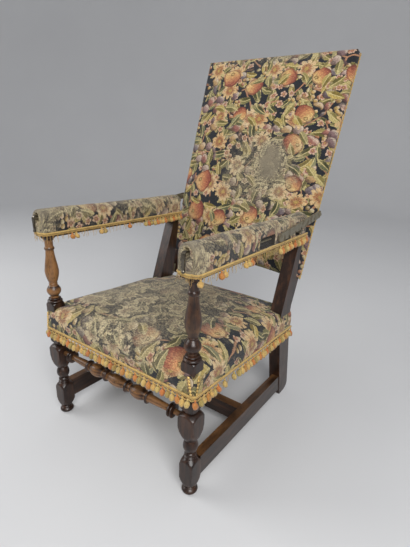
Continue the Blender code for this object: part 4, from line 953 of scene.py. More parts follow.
def padded_cover(shares, plan, top, wall, floor, place, wear, offset):
    """A closed stuffed cover: a crowned face on a rounded plan, side walls, and a lip turned in below.

    plan gives a point of the plan and its distance in from the rim, top the face's height and grip, wall the
    heights of the wall from the rim down, and floor the lip's inset and the height of the closing face. place
    puts a plan point with its height in the chair. offset moves the cloth's pattern. Gives the piece's shape,
    and how firmly each point is held.
    """
    shape = Shape("cloth", "wear")
    held = []

    def put(spot, height, cloth, grip):
        held.append(grip)
        pattern = (cloth.x + offset, cloth.y + offset * 0.7, 0.0)
        return shape.add(place(spot.x, spot.y, height), cloth=pattern, wear=wear(*cloth))

    grid, flat = [], []
    for v in shares[1]:
        row, flat_row = [], []
        for u in shares[0]:
            x, y, near = plan(u, v)
            height, grip = top(x, y, u, v, near)
            flat_row.append((x, y))
            row.append(put(Place(x, y), height, Place(x, y), grip))
        grid.append(row)
        flat.append(flat_row)
    shape.skin(grid, closed=False)

    loop = rim_of(grid)
    points = [Vector(flat[i][j]) for i, j in loop]
    normals = [rim_normal(points, k) for k in range(len(points))]
    last = [grid[i][j] for i, j in loop]
    count = len(wall(points[0]))
    for number in range(1, count):
        share = number / (count - 1)
        ring = []
        for point, normal in zip(points, normals):
            heights = wall(point)
            spot = point + normal * (WALL_BULGE * math.sin(math.pi * share))
            spread = point + normal * (heights[0] - heights[number])
            ring.append(put(spot, heights[number], spread, smooth(share, 0.25, 0.8)))
        shape.bridge(last, ring)
        last = ring
    inset, floor_height = floor
    for height in (lambda point, spot: wall(point)[-1], lambda point, spot: floor_height(spot)):
        ring = []
        for point, normal in zip(points, normals):
            spot = point - normal * inset
            ring.append(put(spot, height(point, spot), point, 1.0))
        shape.bridge(last, ring)
        last = ring
    shape.faces.append(tuple(last))
    return shape, held


def cover_cloth(covers):
    """The tapestry in the colours that are set."""
    return tapestry(tuple(covers.ground), tuple(covers.canvas))


def make_seat(covers):
    """The stuffed seat: domed, drawn down round the posts, with its walls nailed to the rails."""
    half_depth, middle = (SEAT_REAR - SEAT_FRONT) / 2, (SEAT_REAR + SEAT_FRONT) / 2
    posts = [(side * POST_X, FRONT_Y, POST_HALF_SQUARE, POST_HALF_SQUARE) for _, side in SIDES]
    posts += [(side * POST_X, REAR_POST_Y, *REAR_POST_HALF) for _, side in SIDES]

    def plan(u, v):
        x, y, near = rounded_plan(u * SEAT_HALF, v * half_depth, SEAT_HALF, half_depth, SEAT_CORNER)
        return x, y + middle, near

    def top(x, y, u, v, near):
        crown = covers.seat_crown * (1 - abs(u) ** 2.4) * (1 - abs(v) ** 2.4)
        lumps = bumps(0.0045, x * 9, y * 9, 1.7) + bumps(0.002, x * 26, y * 26, 4.1)
        gap = min(math.hypot(max(abs(x - a) - c, 0), max(abs(y - b) - d, 0)) for a, b, c, d in posts)
        pulled = 1 - smooth(gap, 0.0, 0.030)
        grip = max(pulled, smooth(y, 0.225, 0.270), 0.35 * (1 - smooth(near, 0.0, 0.02)))
        lumps *= smooth(near, 0.0, 0.05) * (1 - pulled)
        height = seat_edge(y) + WEBBING_UP + SEAT_STUFFING + crown + lumps - 0.004 * pulled
        return height - edge_drop(near, SEAT_ROUND), min(grip, 1.0)

    def wall(point):
        low = seat_edge(point.y)
        return levels(low + WEBBING_UP + SEAT_STUFFING - SEAT_ROUND, low, 7)

    def floor(spot):
        return seat_edge(spot.y) + WEBBING_UP + 0.0004

    shape, held = padded_cover(
        (even(58), even(58)), plan, top, wall, (SEAT_LIP, floor), in_row, seat_wear, 0.0
    )
    mesh = shape.mesh("seat_cushion")
    mesh.polygons[len(mesh.polygons) - 1].material_index = 1
    outward(mesh)
    cloths = [cover_cloth(covers), linen("sackcloth", 0.0022, SACKCLOTH)]
    obj = add_piece("seat_cushion", mesh, cloths, "frame", ["seat_pad"])
    stuffed(obj, held, covers.pressure, covers.swell)
    finish_cover(obj, SEAT_FILL)


def make_back(covers):
    """The stuffed back: a crowned face, walls round the frame's edges and an arched lower edge."""
    half_height = BACK_HEIGHT / 2

    def plan(u, v):
        x, y, near = rounded_plan(
            u * BACK_HALF_TOP, v * half_height, BACK_HALF_TOP, half_height, BACK_CORNER
        )
        u, v = x / BACK_HALF_TOP, y / half_height
        low = BACK_LOW + BACK_ARCH * (1 - u ** 2)
        z = low + (BACK_HEIGHT - low) * (v + 1) / 2
        return back_half(z) * u, z, near

    def top(x, z, u, v, near):
        crown = covers.back_crown * max(1 - u ** 2, 0) ** 0.8 * (1 - v ** 4)
        lumps = bumps(0.0045, x * 8, z * 8, 7.3) + bumps(0.0016, x * 24, z * 24, 2.9)
        height = -BACK_FRONT + crown + lumps * smooth(near, 0.0, 0.06) - edge_drop(near, BACK_ROUND)
        return height, 1 - smooth(near, 0.004, 0.050)

    def wall(point):
        return levels(-BACK_FRONT - BACK_ROUND, -BACK_REAR, 4)

    def place(x, z, height):
        return on_back(x, -height, z)

    shape, held = padded_cover(
        (even(56), even(78)), plan, top, wall, (BACK_LIP, lambda spot: -STILE_FRONT), place, back_wear, 3.0
    )
    mesh = shape.mesh("back_cushion")
    outward(mesh)
    obj = add_piece("back_cushion", mesh, [cover_cloth(covers)], "back", ["back_pad"])
    stuffed(obj, held, covers.pressure, covers.swell)
    finish_cover(obj, BACK_FILL)


# Rows of points up an arm's side as shares of its height, and round its top
ARM_ROWS = (0.0, 0.085, 0.226, 0.43, 0.62, 0.81)
ARM_ARC_STEPS = 16

# Rings at an arm's front, as distances behind it and insets, and the longest step between the rings behind
ARM_FRONT_RINGS = ((0.0, ARM_FRONT_INSET), (0.0012, 0.0024), (0.005, 0.0006), (0.013, 0.0))
ARM_STEP = 0.0115

# Rings from an arm's front edge into the lever's slot: share of the way in, and how far they stand forward
SLOT_RINGS = ((0.35, 0.0012), (0.70, 0.0016), (1.0, 0.0012), (1.0, -0.0080))
ARM_FRONT_WORN = 0.55


def arm_section(inset):
    """Section of an arm pad: up the side, over the round top, down the other side and back below."""
    half, shoulder = ARM_HALF - inset, ARM_TOP - inset - ARM_SHOULDER
    rows = [ARM_LIFT + (shoulder - ARM_LIFT) * share for share in ARM_ROWS]
    points = [(-half, up) for up in rows]
    for i in range(ARM_ARC_STEPS + 1):
        angle = math.pi * i / ARM_ARC_STEPS
        points.append((-half * math.cos(angle), shoulder + ARM_SHOULDER * math.sin(angle)))
    points += [(half, up) for up in reversed(rows)]
    return points + [(half * (1 - i / 3), ARM_LIFT) for i in range(1, 6)]


def arm_stations():
    """Depths and insets of the rings along an arm pad, with rings at the edges of its openings."""
    stations = [(ARM_FRONT + behind, inset) for behind, inset in ARM_FRONT_RINGS]
    for mark in (*MOUTH[:2], *CATCH_WINDOW[:2], ARM_REAR):
        y = stations[-1][0]
        count = max(2, round((mark - y) / ARM_STEP))
        stations += [(y + (mark - y) * i / count, 0.0) for i in range(1, count + 1)]
    return stations


def arm_ring(shape, held, side, y, inset, offset):
    """One ring of points round an arm pad, with its lumps."""
    ring, girth, before = [], 0.0, None
    for x, up in arm_section(inset):
        if before is not None:
            girth += math.hypot(x - before[0], up - before[1])
        before = (x, up)
        lump = bumps(0.0022, y * 13, up * 30, 5.0 + side + x * 20) * smooth(up, 0.02, 0.06)
        spot = in_row(side * POST_X + x * (1 + lump * 8), y, arm_under(y) + up + lump)
        pattern = (girth + offset, y + offset, 0.0)
        ring.append(shape.add(spot, cloth=pattern, wear=float(arm_wear(y, up))))
        low = 1 - smooth(up, 0.012, 0.045)
        ends = max(1 - smooth(y - ARM_FRONT, 0.0, 0.010), smooth(y, 0.300, 0.325))
        held.append(max(low, ends))
    return ring


def slot_ring(shape, held, side, share, ahead, offset):
    """One ring of points on an arm's front, part of the way from its edge to the lever's slot."""
    wide, tall, middle = LEVER_SLOT
    ring = []
    for x, up in arm_section(ARM_FRONT_INSET):
        dx, dz = x / (ARM_HALF - ARM_FRONT_INSET), (up - middle) / (ARM_TOP - middle - ARM_FRONT_INSET)
        reach = max(abs(dx), abs(dz), 1e-6)
        slot_x, slot_up = wide * dx / reach, middle + tall * dz / reach
        a, b = x + (slot_x - x) * share, up + (slot_up - up) * share
        spot = in_row(side * POST_X + a, ARM_FRONT - ahead, arm_under(ARM_FRONT) + b)
        ring.append(shape.add(spot, cloth=(a + offset + 0.4, b + offset, 0.0), wear=ARM_FRONT_WORN))
        held.append(1.0)
    return ring


def make_arm(name, side, covers):
    """A stuffed arm pad: round top, full front with the lever's slot, and two openings in its outer side."""
    shape = Shape("cloth", "wear")
    held = []
    offset = 6.0 + 1.5 * side
    rings = [arm_ring(shape, held, side, y, inset, offset) for y, inset in arm_stations()]
    shape.skin(rings)
    last = rings[0]
    for share, ahead in SLOT_RINGS:
        ring = slot_ring(shape, held, side, share, ahead, offset)
        shape.bridge(ring, last)
        last = ring
    shape.faces.append(tuple(reversed(last)))
    shape.faces.append(tuple(rings[-1]))
    mesh = shape.mesh(f"arm_cushion_{name}")
    outward(mesh)
    # The second cloth is the near-black lining of the openings, painted shade
    cloths = [cover_cloth(covers), linen("painted_shade_lining", 0.0016, PAINTED_SHADE_LINING)]
    obj = add_piece(f"arm_cushion_{name}", mesh, cloths, "frame", [f"arm_pad_{name}"])
    stuffed(obj, held, covers.pressure, covers.swell * 0.5)
    flatten_side(mesh, side)
    open_side(mesh, side, (MOUTH, CATCH_WINDOW))
    finish_cover(obj, ARM_FILL)


def flatten_side(mesh, side):
    """Keep an arm pad's outer side clear of the ratchet bar that passes it."""
    for vertex in mesh.vertices:
        passed = smooth(vertex.co.y - DEPTH_SHIFT, MOUTH[0] - 0.060, MOUTH[0] - 0.010)
        over = side * vertex.co.x - POST_X - ARM_HALF + BAR_GAP
        if over > 0:
            vertex.co.x -= side * over * passed
    mesh.update()


def open_side(mesh, side, windows):
    """Cut openings through an arm pad's outer side, and line them as pockets in near-black cloth, painted
    shade inside the openings.
    """
    bm = bmesh.new()
    bm.from_mesh(mesh)
    slack = 0.002
    for y0, y1, low, high in windows:
        doomed = []
        for face in bm.faces:
            middle = face.calc_center_median()
            y = middle.y - DEPTH_SHIFT
            up = middle.z - arm_under(y)
            outer = side * middle.x > POST_X + ARM_HALF * 0.75
            if outer and y0 < y < y1 and low - slack < up < high + slack:
                doomed.append(face)
        bmesh.ops.delete(bm, geom=doomed, context="FACES")
        edges = [e for e in bm.edges if e.is_boundary]
        grown = bmesh.ops.extrude_edge_only(bm, edges=edges)
        for vertex in grown["geom"]:
            if isinstance(vertex, bmesh.types.BMVert):
                vertex.co.x -= side * POCKET
        closing = [e for e in bm.edges if e.is_boundary]
        filled = bmesh.ops.edgeloop_fill(bm, edges=closing)
        lining = [f for f in grown["geom"] if isinstance(f, bmesh.types.BMFace)]
        # Walls and closing faces of the openings take the near-black lining, painted shade
        for face in filled["faces"] + lining:
            face.material_index = 1
    bmesh.ops.recalc_face_normals(bm, faces=bm.faces)
    bm.to_mesh(mesh)
    bm.free()
    mesh.shade_smooth()


# Trimmings

TRIM_STEP = 0.0017
CURVE_STEPS = 6

# The gimp's section, laid out for its full height: places as distances outwards and upwards
GIMP_FULL_HEIGHT = 0.0125
GIMP_UP = 0.0062
TAPE_SECTION = ((0.0002, -0.0056), (0.0002, 0.0056), (0.0014, 0.0056), (0.0014, -0.0056))
TAPE_TINT = 0.62

# Twisted pairs on the gimp: turns in each pitch, middle and swing outwards and upwards, radius and sides of a
# thread, and the first thread's tint, the step to the second one's and the chance in it
GimpPair = namedtuple("GimpPair", "turns out up radius sides tint")
GIMP_PAIRS = (
    GimpPair(1.0, (0.0026, 0.0012), (0.0026, 0.0017), 0.0021, 6, (0.20, 0.16, 0.05)),
    GimpPair(1.5, (0.0020, 0.0007), (-0.0036, 0.0019), 0.0011, 5, (0.08, 0.26, 0.0)),
)

# A tassel from its cord down: share of its length, and radius
TASSEL_PROFILE = (
    (0.00, 0.0012), (0.05, 0.0024), (0.13, 0.0029), (0.21, 0.0025), (0.27, 0.0021), (0.32, 0.0031),
    (0.41, 0.0058), (0.55, 0.0076), (0.72, 0.0081), (0.89, 0.0070), (1.00, 0.0048),
)
TASSEL_SIDES = 12
TASSEL_TINTS = (0.80, 0.42, 0.22, 0.72, 0.34, 0.55)
TASSEL_OUT = 0.0042
LOOP_SAGS = (0.0040, 0.0072)
LASTED = 0.97

# A nail head from its rim up: radius and height, as shares of its radius
NAIL_PROFILE = ((1.00, -0.10), (1.04, 0.08), (0.94, 0.26), (0.74, 0.48), (0.42, 0.64))
NAIL_CROWN = 0.70
NAIL_SIDES = 10
NAIL_PROUD = 0.0021
BACK_GIMP_INSET = 0.0060


def walk(corners, step, curve=0.0):
    """Places along a line of corner points: (length so far, point, direction)."""
    path = [corners[0]]
    for before, corner, after in zip(corners, corners[1:], corners[2:]):
        start = corner + (before - corner).normalized() * curve
        end = corner + (after - corner).normalized() * curve
        for i in range(CURVE_STEPS + 1):
            t = i / CURVE_STEPS
            path.append(start * (1 - t) ** 2 + corner * 2 * t * (1 - t) + end * t ** 2)
    path.append(corners[-1])
    total = sum((b - a).length for a, b in zip(path, path[1:]))
    count = max(2, round(total / step))
    places, index, gone = [], 0, 0.0
    for i in range(count + 1):
        target = total * i / count
        while index < len(path) - 2 and gone + (path[index + 1] - path[index]).length < target:
            gone += (path[index + 1] - path[index]).length
            index += 1
        piece = path[index + 1] - path[index]
        places.append((target, path[index] + piece * ((target - gone) / piece.length), piece.normalized()))
    return places


def strand(shape, path, radius, sides, tint):
    """A round closed thread along points."""
    rings = []
    for i, point in enumerate(path):
        ahead = (path[min(i + 1, len(path) - 1)] - path[max(i - 1, 0)]).normalized()
        across = ahead.cross(UP if abs(ahead.z) < 0.9 else Vector((1, 0, 0))).normalized()
        over = across.cross(ahead)
        spots = [point + across * (radius * c) + over * (radius * s) for c, s in around(sides)]
        rings.append([shape.add(spot, tint=tint) for spot in spots])
    shape.tube(rings)


def gimp(shape, places, side_of, height, pitch, seed, fullness=None):
    """Woven gimp: a backing tape, a fat twisted cord above and two threads looped into a chain below.

    fullness gives how far the gimp stands out at each place, where it is pressed flat.
    """
    chance = random.Random(seed)
    scale = height / GIMP_FULL_HEIGHT
    spots = []
    for number, (length, point, ahead) in enumerate(places):
        out = side_of(ahead)
        over = ahead.cross(out)
        if over.z < 0:
            over = -over
        if fullness:
            out = out * fullness[number]
        spots.append((length, point, out, over))
    rows = []
    for a, b in TAPE_SECTION:
        row = [point + out * (a * scale) + over * (b * scale) for _, point, out, over in spots]
        rows.append([shape.add(spot, tint=TAPE_TINT) for spot in row])
    shape.skin(rows + rows[:1], closed=False)
    for end in (0, -1):
        shape.faces.append(tuple(row[end] for row in (rows if end else rows[::-1])))
    for pair in GIMP_PAIRS:
        for k in range(2):
            path = []
            for length, point, out, over in spots:
                phase = (TAU * length / pitch + math.pi * k) * pair.turns
                outwards = (pair.out[0] + pair.out[1] * math.cos(phase)) * scale
                upwards = (pair.up[0] + pair.up[1] * math.sin(phase)) * scale
                path.append(point + out * outwards + over * upwards)
            tint, change, uneven = pair.tint
            if uneven:
                tint += uneven * chance.random()
            strand(shape, path, pair.radius * scale, pair.sides, tint + change * k)


def tassel(shape, point, out, ahead, length, tint, chance):
    """A tassel: a bound neck and a round bobble of threads that hangs a little askew."""
    lean = ahead * chance.uniform(-0.16, 0.16) + out * chance.uniform(0.0, 0.14)
    twist = chance.uniform(0, TAU)
    rings = []
    for share, radius in TASSEL_PROFILE:
        middle = point - UP * (length * share) + lean * (length * share ** 1.6)
        ring = []
        for k, (c, s) in enumerate(around(TASSEL_SIDES)):
            fold = 1 + (0.13 * math.cos(6 * TAU * k / TASSEL_SIDES + twist) if share > 0.3 else 0)
            spot = middle + ahead * (radius * fold * c) + out * (radius * fold * s)
            if share == 1.0:
                spot -= UP * (0.0022 * chance.random())
            shade = tint + (0.12 if 0.2 < share < 0.3 else 0) + (0.06 if k % 2 else -0.04)
            ring.append(shape.add(spot, tint=min(max(shade, 0.0), 1.0)))
        rings.append(ring)
    core = shape.add(point - UP * (length * 0.9) + lean * (length * 0.9), tint=0.95)
    shape.cap(rings, core)


def loop_between(shape, start, end, sag, tint):
    """A thread that hangs between two places."""
    path = [start.lerp(end, i / 8) - UP * (sag * math.sin(math.pi * i / 8)) for i in range(9)]
    strand(shape, path, 0.0010, 5, tint)


def loose_thread(shape, point, length, chance):
    """A broken thread that hangs where a tassel is gone."""
    drift = Vector((chance.uniform(-1, 1), chance.uniform(-1, 1), 0)) * 0.18
    path = []
    for i in range(7):
        t = i / 6
        sway = Vector((0.0008 * math.sin(i * 1.9), 0, 0))
        path.append(point - UP * (length * t) + drift * (length * t ** 2) + sway)
    strand(shape, path, 0.00055, 4, chance.uniform(0.0, 0.45))


def outside(ahead):
    """The outward side of a path that runs clockwise, seen from above."""
    return UP.cross(ahead).normalized()


def fringe(shape, places, drop, trim, seed, kept, room=lambda point: (0.0, 0.0)):
    """Gimp with tassels below it; kept gives the chance that a tassel has lasted at a share of the path.

    room gives how flat the gimp is pressed at a point and how far it dips, to leave room for a moving part.
    """
    chance = random.Random(seed)
    rooms = [room(point) for _, point, _ in places]
    lifted = [(s, p + UP * (GIMP_UP - dip), a) for (s, p, a), (_, dip) in zip(places, rooms)]
    fullness = [1 - flat for flat, _ in rooms]
    gimp(shape, lifted, outside, trim.gimp_height, trim.gimp_pitch, seed, fullness)
    total = places[-1][0]
    count = round(total / trim.tassel_pitch)
    before = None
    for i in range(count):
        target = total * (i + 0.5) / count
        _, point, ahead = min(places, key=lambda place: abs(place[0] - target))
        out = outside(ahead)
        top = point + out * TASSEL_OUT + UP * (GIMP_UP - trim.gimp_height / 2 + 0.0012)
        share = kept(target / total)
        if chance.random() < share:
            tint = TASSEL_TINTS[i % len(TASSEL_TINTS)] + chance.uniform(-0.06, 0.06)
            length = drop * chance.uniform(0.86, 1.0) * (0.72 + 0.28 * share)
            tassel(shape, top, out, ahead, length, tint, chance)
            if before is not None:
                for sag in LOOP_SAGS:
                    loop_between(shape, before, top, sag, chance.uniform(0.05, 0.40))
            before = top
        else:
            for _ in range(3):
                spot = top + ahead * chance.uniform(-0.007, 0.007)
                loose_thread(shape, spot, chance.uniform(0.006, drop * 0.9), chance)
            before = None


def make_seat_fringe(trim):
    """Gimp and tassels round the front and sides of the seat."""
    rear, front = SEAT_REAR - 0.004, SEAT_FRONT
    near, far = in_row(SEAT_HALF, rear, seat_edge(SEAT_REAR)), in_row(SEAT_HALF, front, seat_edge(front))
    mirror = Vector((-1, 1, 1))
    shape = Shape("tint")
    places = walk([near, far, far * mirror, near * mirror], TRIM_STEP, SEAT_CORNER)
    fringe(shape, places, trim.tassel_drop, trim, 11, lambda share: LASTED)
    mesh = shape.mesh("seat_tassel_fringe")
    add_piece("seat_tassel_fringe", mesh, [gold_thread()], "frame", ["seat_fringe"])


def arm_tassels_kept(share):
    """Chance that a tassel has lasted along an arm: likely near the back, rare in front."""
    if 0.42 < share < 0.58:
        return 0.05
    return LASTED if min(share, 1 - share) < 0.17 else 0.30


def make_arm_fringes(trim):
    """Gimp along the arms, with the tassels that are left."""
    for name, side in SIDES:
        corners = []
        for x, y in ((1, ARM_REAR), (1, ARM_FRONT), (-1, ARM_FRONT), (-1, ARM_REAR)):
            corners.append(in_row(side * POST_X + x * ARM_HALF, y, arm_under(y) + ARM_LIFT))

        def room(point, side=side):
            """Room for the ratchet bar's nose on the outer side, and for the lever's ball in front."""
            x, y = side * point.x - POST_X, point.y - DEPTH_SHIFT
            nose = smooth(y, 0.03, 0.05) - smooth(y, 0.14, 0.16) if x > 0.5 * ARM_HALF else 0.0
            ball = 1 - smooth(abs(x), 0.009, 0.016) if y < ARM_FRONT + 0.005 else 0.0
            return 0.65 * max(nose, ball), 0.0022 * ball

        shape = Shape("tint")
        places = walk(corners, TRIM_STEP, ARM_CORNER)
        fringe(shape, places, trim.arm_drop, trim, 23 + side, arm_tassels_kept, room)
        piece = f"arm_tassel_fringe_{name}"
        add_piece(piece, shape.mesh(piece), [gold_thread()], "frame", [f"arm_fringe_{name}"])


def back_side_places(side, margin, step):
    """Places up one side face of the back, from a margin above its lower edge to the top."""
    ends = (BACK_LOW + margin, BACK_HEIGHT - margin - 0.004)
    return walk([on_back(side * (back_half(z) + 0.0004), BACK_REAR - BACK_GIMP_INSET, z) for z in ends], step)


def make_back_gimp(trim):
    """Narrow gimp down both side edges of the back."""
    narrow = 0.8
    for name, side in SIDES:
        shape = Shape("tint")
        places = back_side_places(side, 0.004, TRIM_STEP)
        out = Vector((side, 0, 0))
        gimp(shape, places, lambda ahead: out, trim.gimp_height * narrow, trim.gimp_pitch * narrow, 31)
        piece = f"back_gimp_{name}"
        add_piece(piece, shape.mesh(piece), [gold_thread()], "back")


def nail(shape, point, out, radius):
    """A domed nail head with a rolled rim."""
    across = out.orthogonal().normalized()
    over = out.cross(across)
    rings = []
    for reach, rise in NAIL_PROFILE:
        middle = point + out * (radius * rise)
        spots = [middle + (across * c + over * s) * (radius * reach) for c, s in around(NAIL_SIDES)]
        rings.append([shape.add(spot) for spot in spots])
    shape.cap(rings, shape.add(point + out * (radius * NAIL_CROWN)))


def make_nails(trim):
    """Dome-headed nails: in a V at the seat's front corners, and on the gimp of the back."""
    metal = [brass(tuple(trim.brass))]
    seat, radius = Shape(), trim.nail_radius
    low, high = seat_edge(SEAT_FRONT) + 0.016, seat_edge(SEAT_FRONT) + WEBBING_UP - 0.008
    count = round((high - low) / trim.nail_pitch)
    for _, side in SIDES:
        for i in range(count + 1):
            share = i / count
            z = low + (high - low) * share
            spread = 0.009 + 0.008 * share
            front = in_row(side * (SEAT_HALF - spread), SEAT_FRONT - NAIL_PROUD, z)
            flank = in_row(side * (SEAT_HALF + NAIL_PROUD), SEAT_FRONT + spread, z)
            nail(seat, front, Vector((0, -1, 0)), radius)
            nail(seat, flank, Vector((side, 0, 0)), radius)
    add_piece("seat_corner_nails", seat.mesh("seat_corner_nails"), metal, "frame")

    back = Shape()
    for _, side in SIDES:
        out = Vector((side, 0, 0))
        for _, point, _ in back_side_places(side, 0.010, trim.nail_pitch * 1.6):
            nail(back, point + out * 0.0024, out, radius * 0.86)
    add_piece("back_edge_nails", back.mesh("back_edge_nails"), metal, "back")


# Webbing and rear cloth

STRAP_COUNT = 8
STRAP_STEPS = 64
STRAP_HALF_WIDTH = 0.025
STRAP_HALF_THICKNESS = 0.0008
STRAP_LIFT = 0.0009
STRAP_SECTION = ((-1, -1), (0, -1.25), (1, -1), (1, 1), (0, 1.25), (-1, 1))
REAR_CLOTH_COLUMNS, REAR_CLOTH_ROWS = 44, 60
REAR_CLOTH_IN = 0.0320
REAR_CLOTH_THICKNESS = 0.0011
HEM_IN, HEM_HALF, HEM_PROUD = 0.012, 0.002, 0.0006


def make_webbing():
    """Jute straps laced over and under each other across the rails."""
    low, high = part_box("seat_webbing")
    half, front, rear = high.x, low.y, high.y
    shape = Shape("cloth")
    across = levels(front + 0.036, rear - 0.036, STRAP_COUNT - 1)
    deep = levels(-half + 0.040, half - 0.040, STRAP_COUNT - 1)

    def strap(line, along_x, parity):
        start, end = (-half, half) if along_x else (front, rear)
        crossings = deep if along_x else across
        rings = []
        for t in levels(start, end, STRAP_STEPS):
            near = min(range(STRAP_COUNT), key=lambda k: abs(crossings[k] - t))
            wave = math.cos(math.pi * (t - crossings[near]) / (crossings[1] - crossings[0]))
            up = STRAP_LIFT * max(wave, 0) ** 0.6 * (1 if (near + parity) % 2 else -1)
            ring = []
            for a, b in STRAP_SECTION:
                aside = a * STRAP_HALF_WIDTH
                x, y = (t, line + aside) if along_x else (line + aside, t)
                x, y = min(max(x, -half), half), min(max(y, front), rear)
                z = seat_edge(y - DEPTH_SHIFT) + WEBBING_UP - 0.0019 + up + b * STRAP_HALF_THICKNESS
                ring.append(shape.add(Vector((x, y, z)), cloth=(t, aside + line * 3, 0.0)))
            rings.append(ring)
        shape.tube(rings)

    for i, line in enumerate(across):
        strap(line, True, i)
    for i, line in enumerate(deep):
        strap(line, False, i + 1)
    mesh = shape.mesh("seat_webbing_straps")
    outward(mesh)
    cloth = linen("jute_webbing", 0.0016, JUTE)
    add_piece("seat_webbing_straps", mesh, [cloth], "frame", ["seat_webbing"])


def make_rear_cloth(covers):
    """Linen stretched over the rear of the back, turned in at its edges, with a slack ripple."""
    shape = Shape("cloth")
    top = BACK_HEIGHT - BACK_LIP

    def point(i, j, outer):
        u = 2 * j / REAR_CLOTH_COLUMNS - 1
        low = BACK_LOW + BACK_LIP + BACK_ARCH * (1 - u ** 2)
        z = low + (top - low) * i / REAR_CLOTH_ROWS
        x = (back_half(z) - BACK_LIP) * u
        near = min((1 - abs(u)) * 0.3, z - low, top - z)
        ripple = 0.0018 + bumps(0.0012, x * 5, z * 3.5, 9.1) + 0.0005 * math.sin(z * 60 + x * 22)
        depth = REAR_CLOTH_IN + ripple * smooth(near, 0.0, 0.05)
        if outer:
            depth += REAR_CLOTH_THICKNESS + HEM_PROUD * (1 - smooth(abs(near - HEM_IN), 0.0, HEM_HALF))
        return shape.add(on_back(x, depth, z), cloth=(x + 9.0, z + 4.0, 0.0))

    grids = []
    for outer in (True, False):
        grid = [
            [point(i, j, outer) for j in range(REAR_CLOTH_COLUMNS + 1)] for i in range(REAR_CLOTH_ROWS + 1)
        ]
        shape.skin(grid, closed=False)
        grids.append(grid)
    loop = rim_of(grids[0])
    shape.bridge([grids[0][i][j] for i, j in loop], [grids[1][i][j] for i, j in loop])
    mesh = shape.mesh("back_rear_linen")
    outward(mesh)
    cloth = linen("rear_linen", 0.0014, tuple(covers.rear_linen))
    obj = add_piece("back_rear_linen", mesh, [cloth], "back", ["back_rear_cloth"])
    (BACK_HALF_TOP + back_half(BACK_LOW)) * (BACK_HEIGHT - BACK_LOW) * 0.96


# Turned wood

TURNED_SIDES = 48
SHARP_EDGE = math.radians(34)
HALF_DIAGONAL = 0.7071
CORNER_EASE = 0.975
SHOULDER_STEPS = 8
GROOVE_REACH = 0.007
QUIRK = 0.0004
STRETCHER_HEIGHT = 0.250
STRETCHER_END = 0.2587
STRETCHER_PEG = 0.028
STRETCHER_PEG_RADIUS = 0.008
STRETCHER_END_RING = 0.010
STRETCHER_WORN = 0.80

# Turnings of the front stretcher outside its middle bulb: width, slimmest and fullest radius, steps
STRETCHER_TURNINGS = (
    (0.012, 0.0125, 0.0195, 10), (0.008, 0.0115, 0.0147, 10), (0.065, 0.0115, 0.021, 20),
    (0.012, 0.0125, 0.0195, 10),
)


def swell(start, end, low, high, steps, peak=0.5):
    """(place, radius, width) along a turned bead, ball or bulb that swells from low to high and back."""
    made = []
    for i in range(steps + 1):
        t = i / steps
        if t < peak:
            rise = math.sin(math.pi / 2 * t / peak)
        else:
            rise = math.cos(math.pi / 2 * (t - peak) / (1 - peak))
        made.append((start + (end - start) * t, low + (high - low) * max(rise, 0.0), 0.0))
    return made


def tapered(*marks):
    """(place, radius, width) at the marks of a plain turned length."""
    return [(place, radius, 0.0) for place, radius in marks]


def squared(start, end, width, low_radius, high_radius, foot, head):
    """(place, radius, width) along a square block whose ends are turned to round shoulders."""
    corner = width * HALF_DIAGONAL * CORNER_EASE
    turns = [math.pi / 2 * i / SHOULDER_STEPS for i in range(SHOULDER_STEPS + 1)]
    shares = [i / SHOULDER_STEPS for i in range(SHOULDER_STEPS + 1)]
    made = []
    for t, turn_by in zip(shares, turns):
        made.append((start + foot * t, low_radius + (corner - low_radius) * math.sin(turn_by), width))
    for t, turn_by in zip(shares, turns):
        made.append((end - head * (1 - t), high_radius + (corner - high_radius) * math.cos(turn_by), width))
    return made


def front_post_profile():
    """The front post from the floor to the arm."""
    foot = swell(0.0, 0.019, 0.0165, 0.0235, 12) + swell(0.0196, 0.0254, 0.0165, 0.0185, 8)
    low_block = squared(0.026, 0.125, 0.045, 0.0165, 0.0155, 0.032, 0.022)
    beads = swell(0.1256, 0.1326, 0.0148, 0.0185, 8) + swell(0.1332, 0.1440, 0.0142, 0.0172, 10)
    bulb = swell(0.1446, 0.1889, 0.0136, 0.0215, 22)
    middle_block = squared(0.1895, 0.2795, 0.053, 0.0185, 0.0185, 0.047, 0.017)
    collar = swell(0.2801, 0.2869, 0.0155, 0.0185, 8)
    seat_block = squared(0.2875, 0.4365, 0.042, 0.0185, 0.024, 0.006, 0.0095)
    rings = swell(0.4371, 0.4465, 0.0195, 0.024, 8) + swell(0.4471, 0.4545, 0.0125, 0.0195, 8)
    ball = swell(0.4585, 0.4975, 0.0125, 0.0224, 16) + swell(0.4981, 0.5041, 0.0125, 0.0138, 6)
    baluster = swell(0.5047, 0.5851, 0.0125, 0.0217, 20)[:12] + tapered(
        (0.5560, 0.0205), (0.5680, 0.0190), (0.5810, 0.0166), (0.5940, 0.0145), (0.6134, 0.0125)
    )
    neck = swell(0.6140, 0.6270, 0.0125, 0.0155, 10) + tapered((0.6470, 0.0125))
    flare = tapered((0.6474, 0.0138), (0.6500, 0.0152), (0.6530, 0.0180), (0.6560, 0.0210), (0.6589, 0.0210))
    below = foot + low_block + beads + bulb + middle_block + collar
    return below + seat_block + rings + ball + baluster + neck + flare


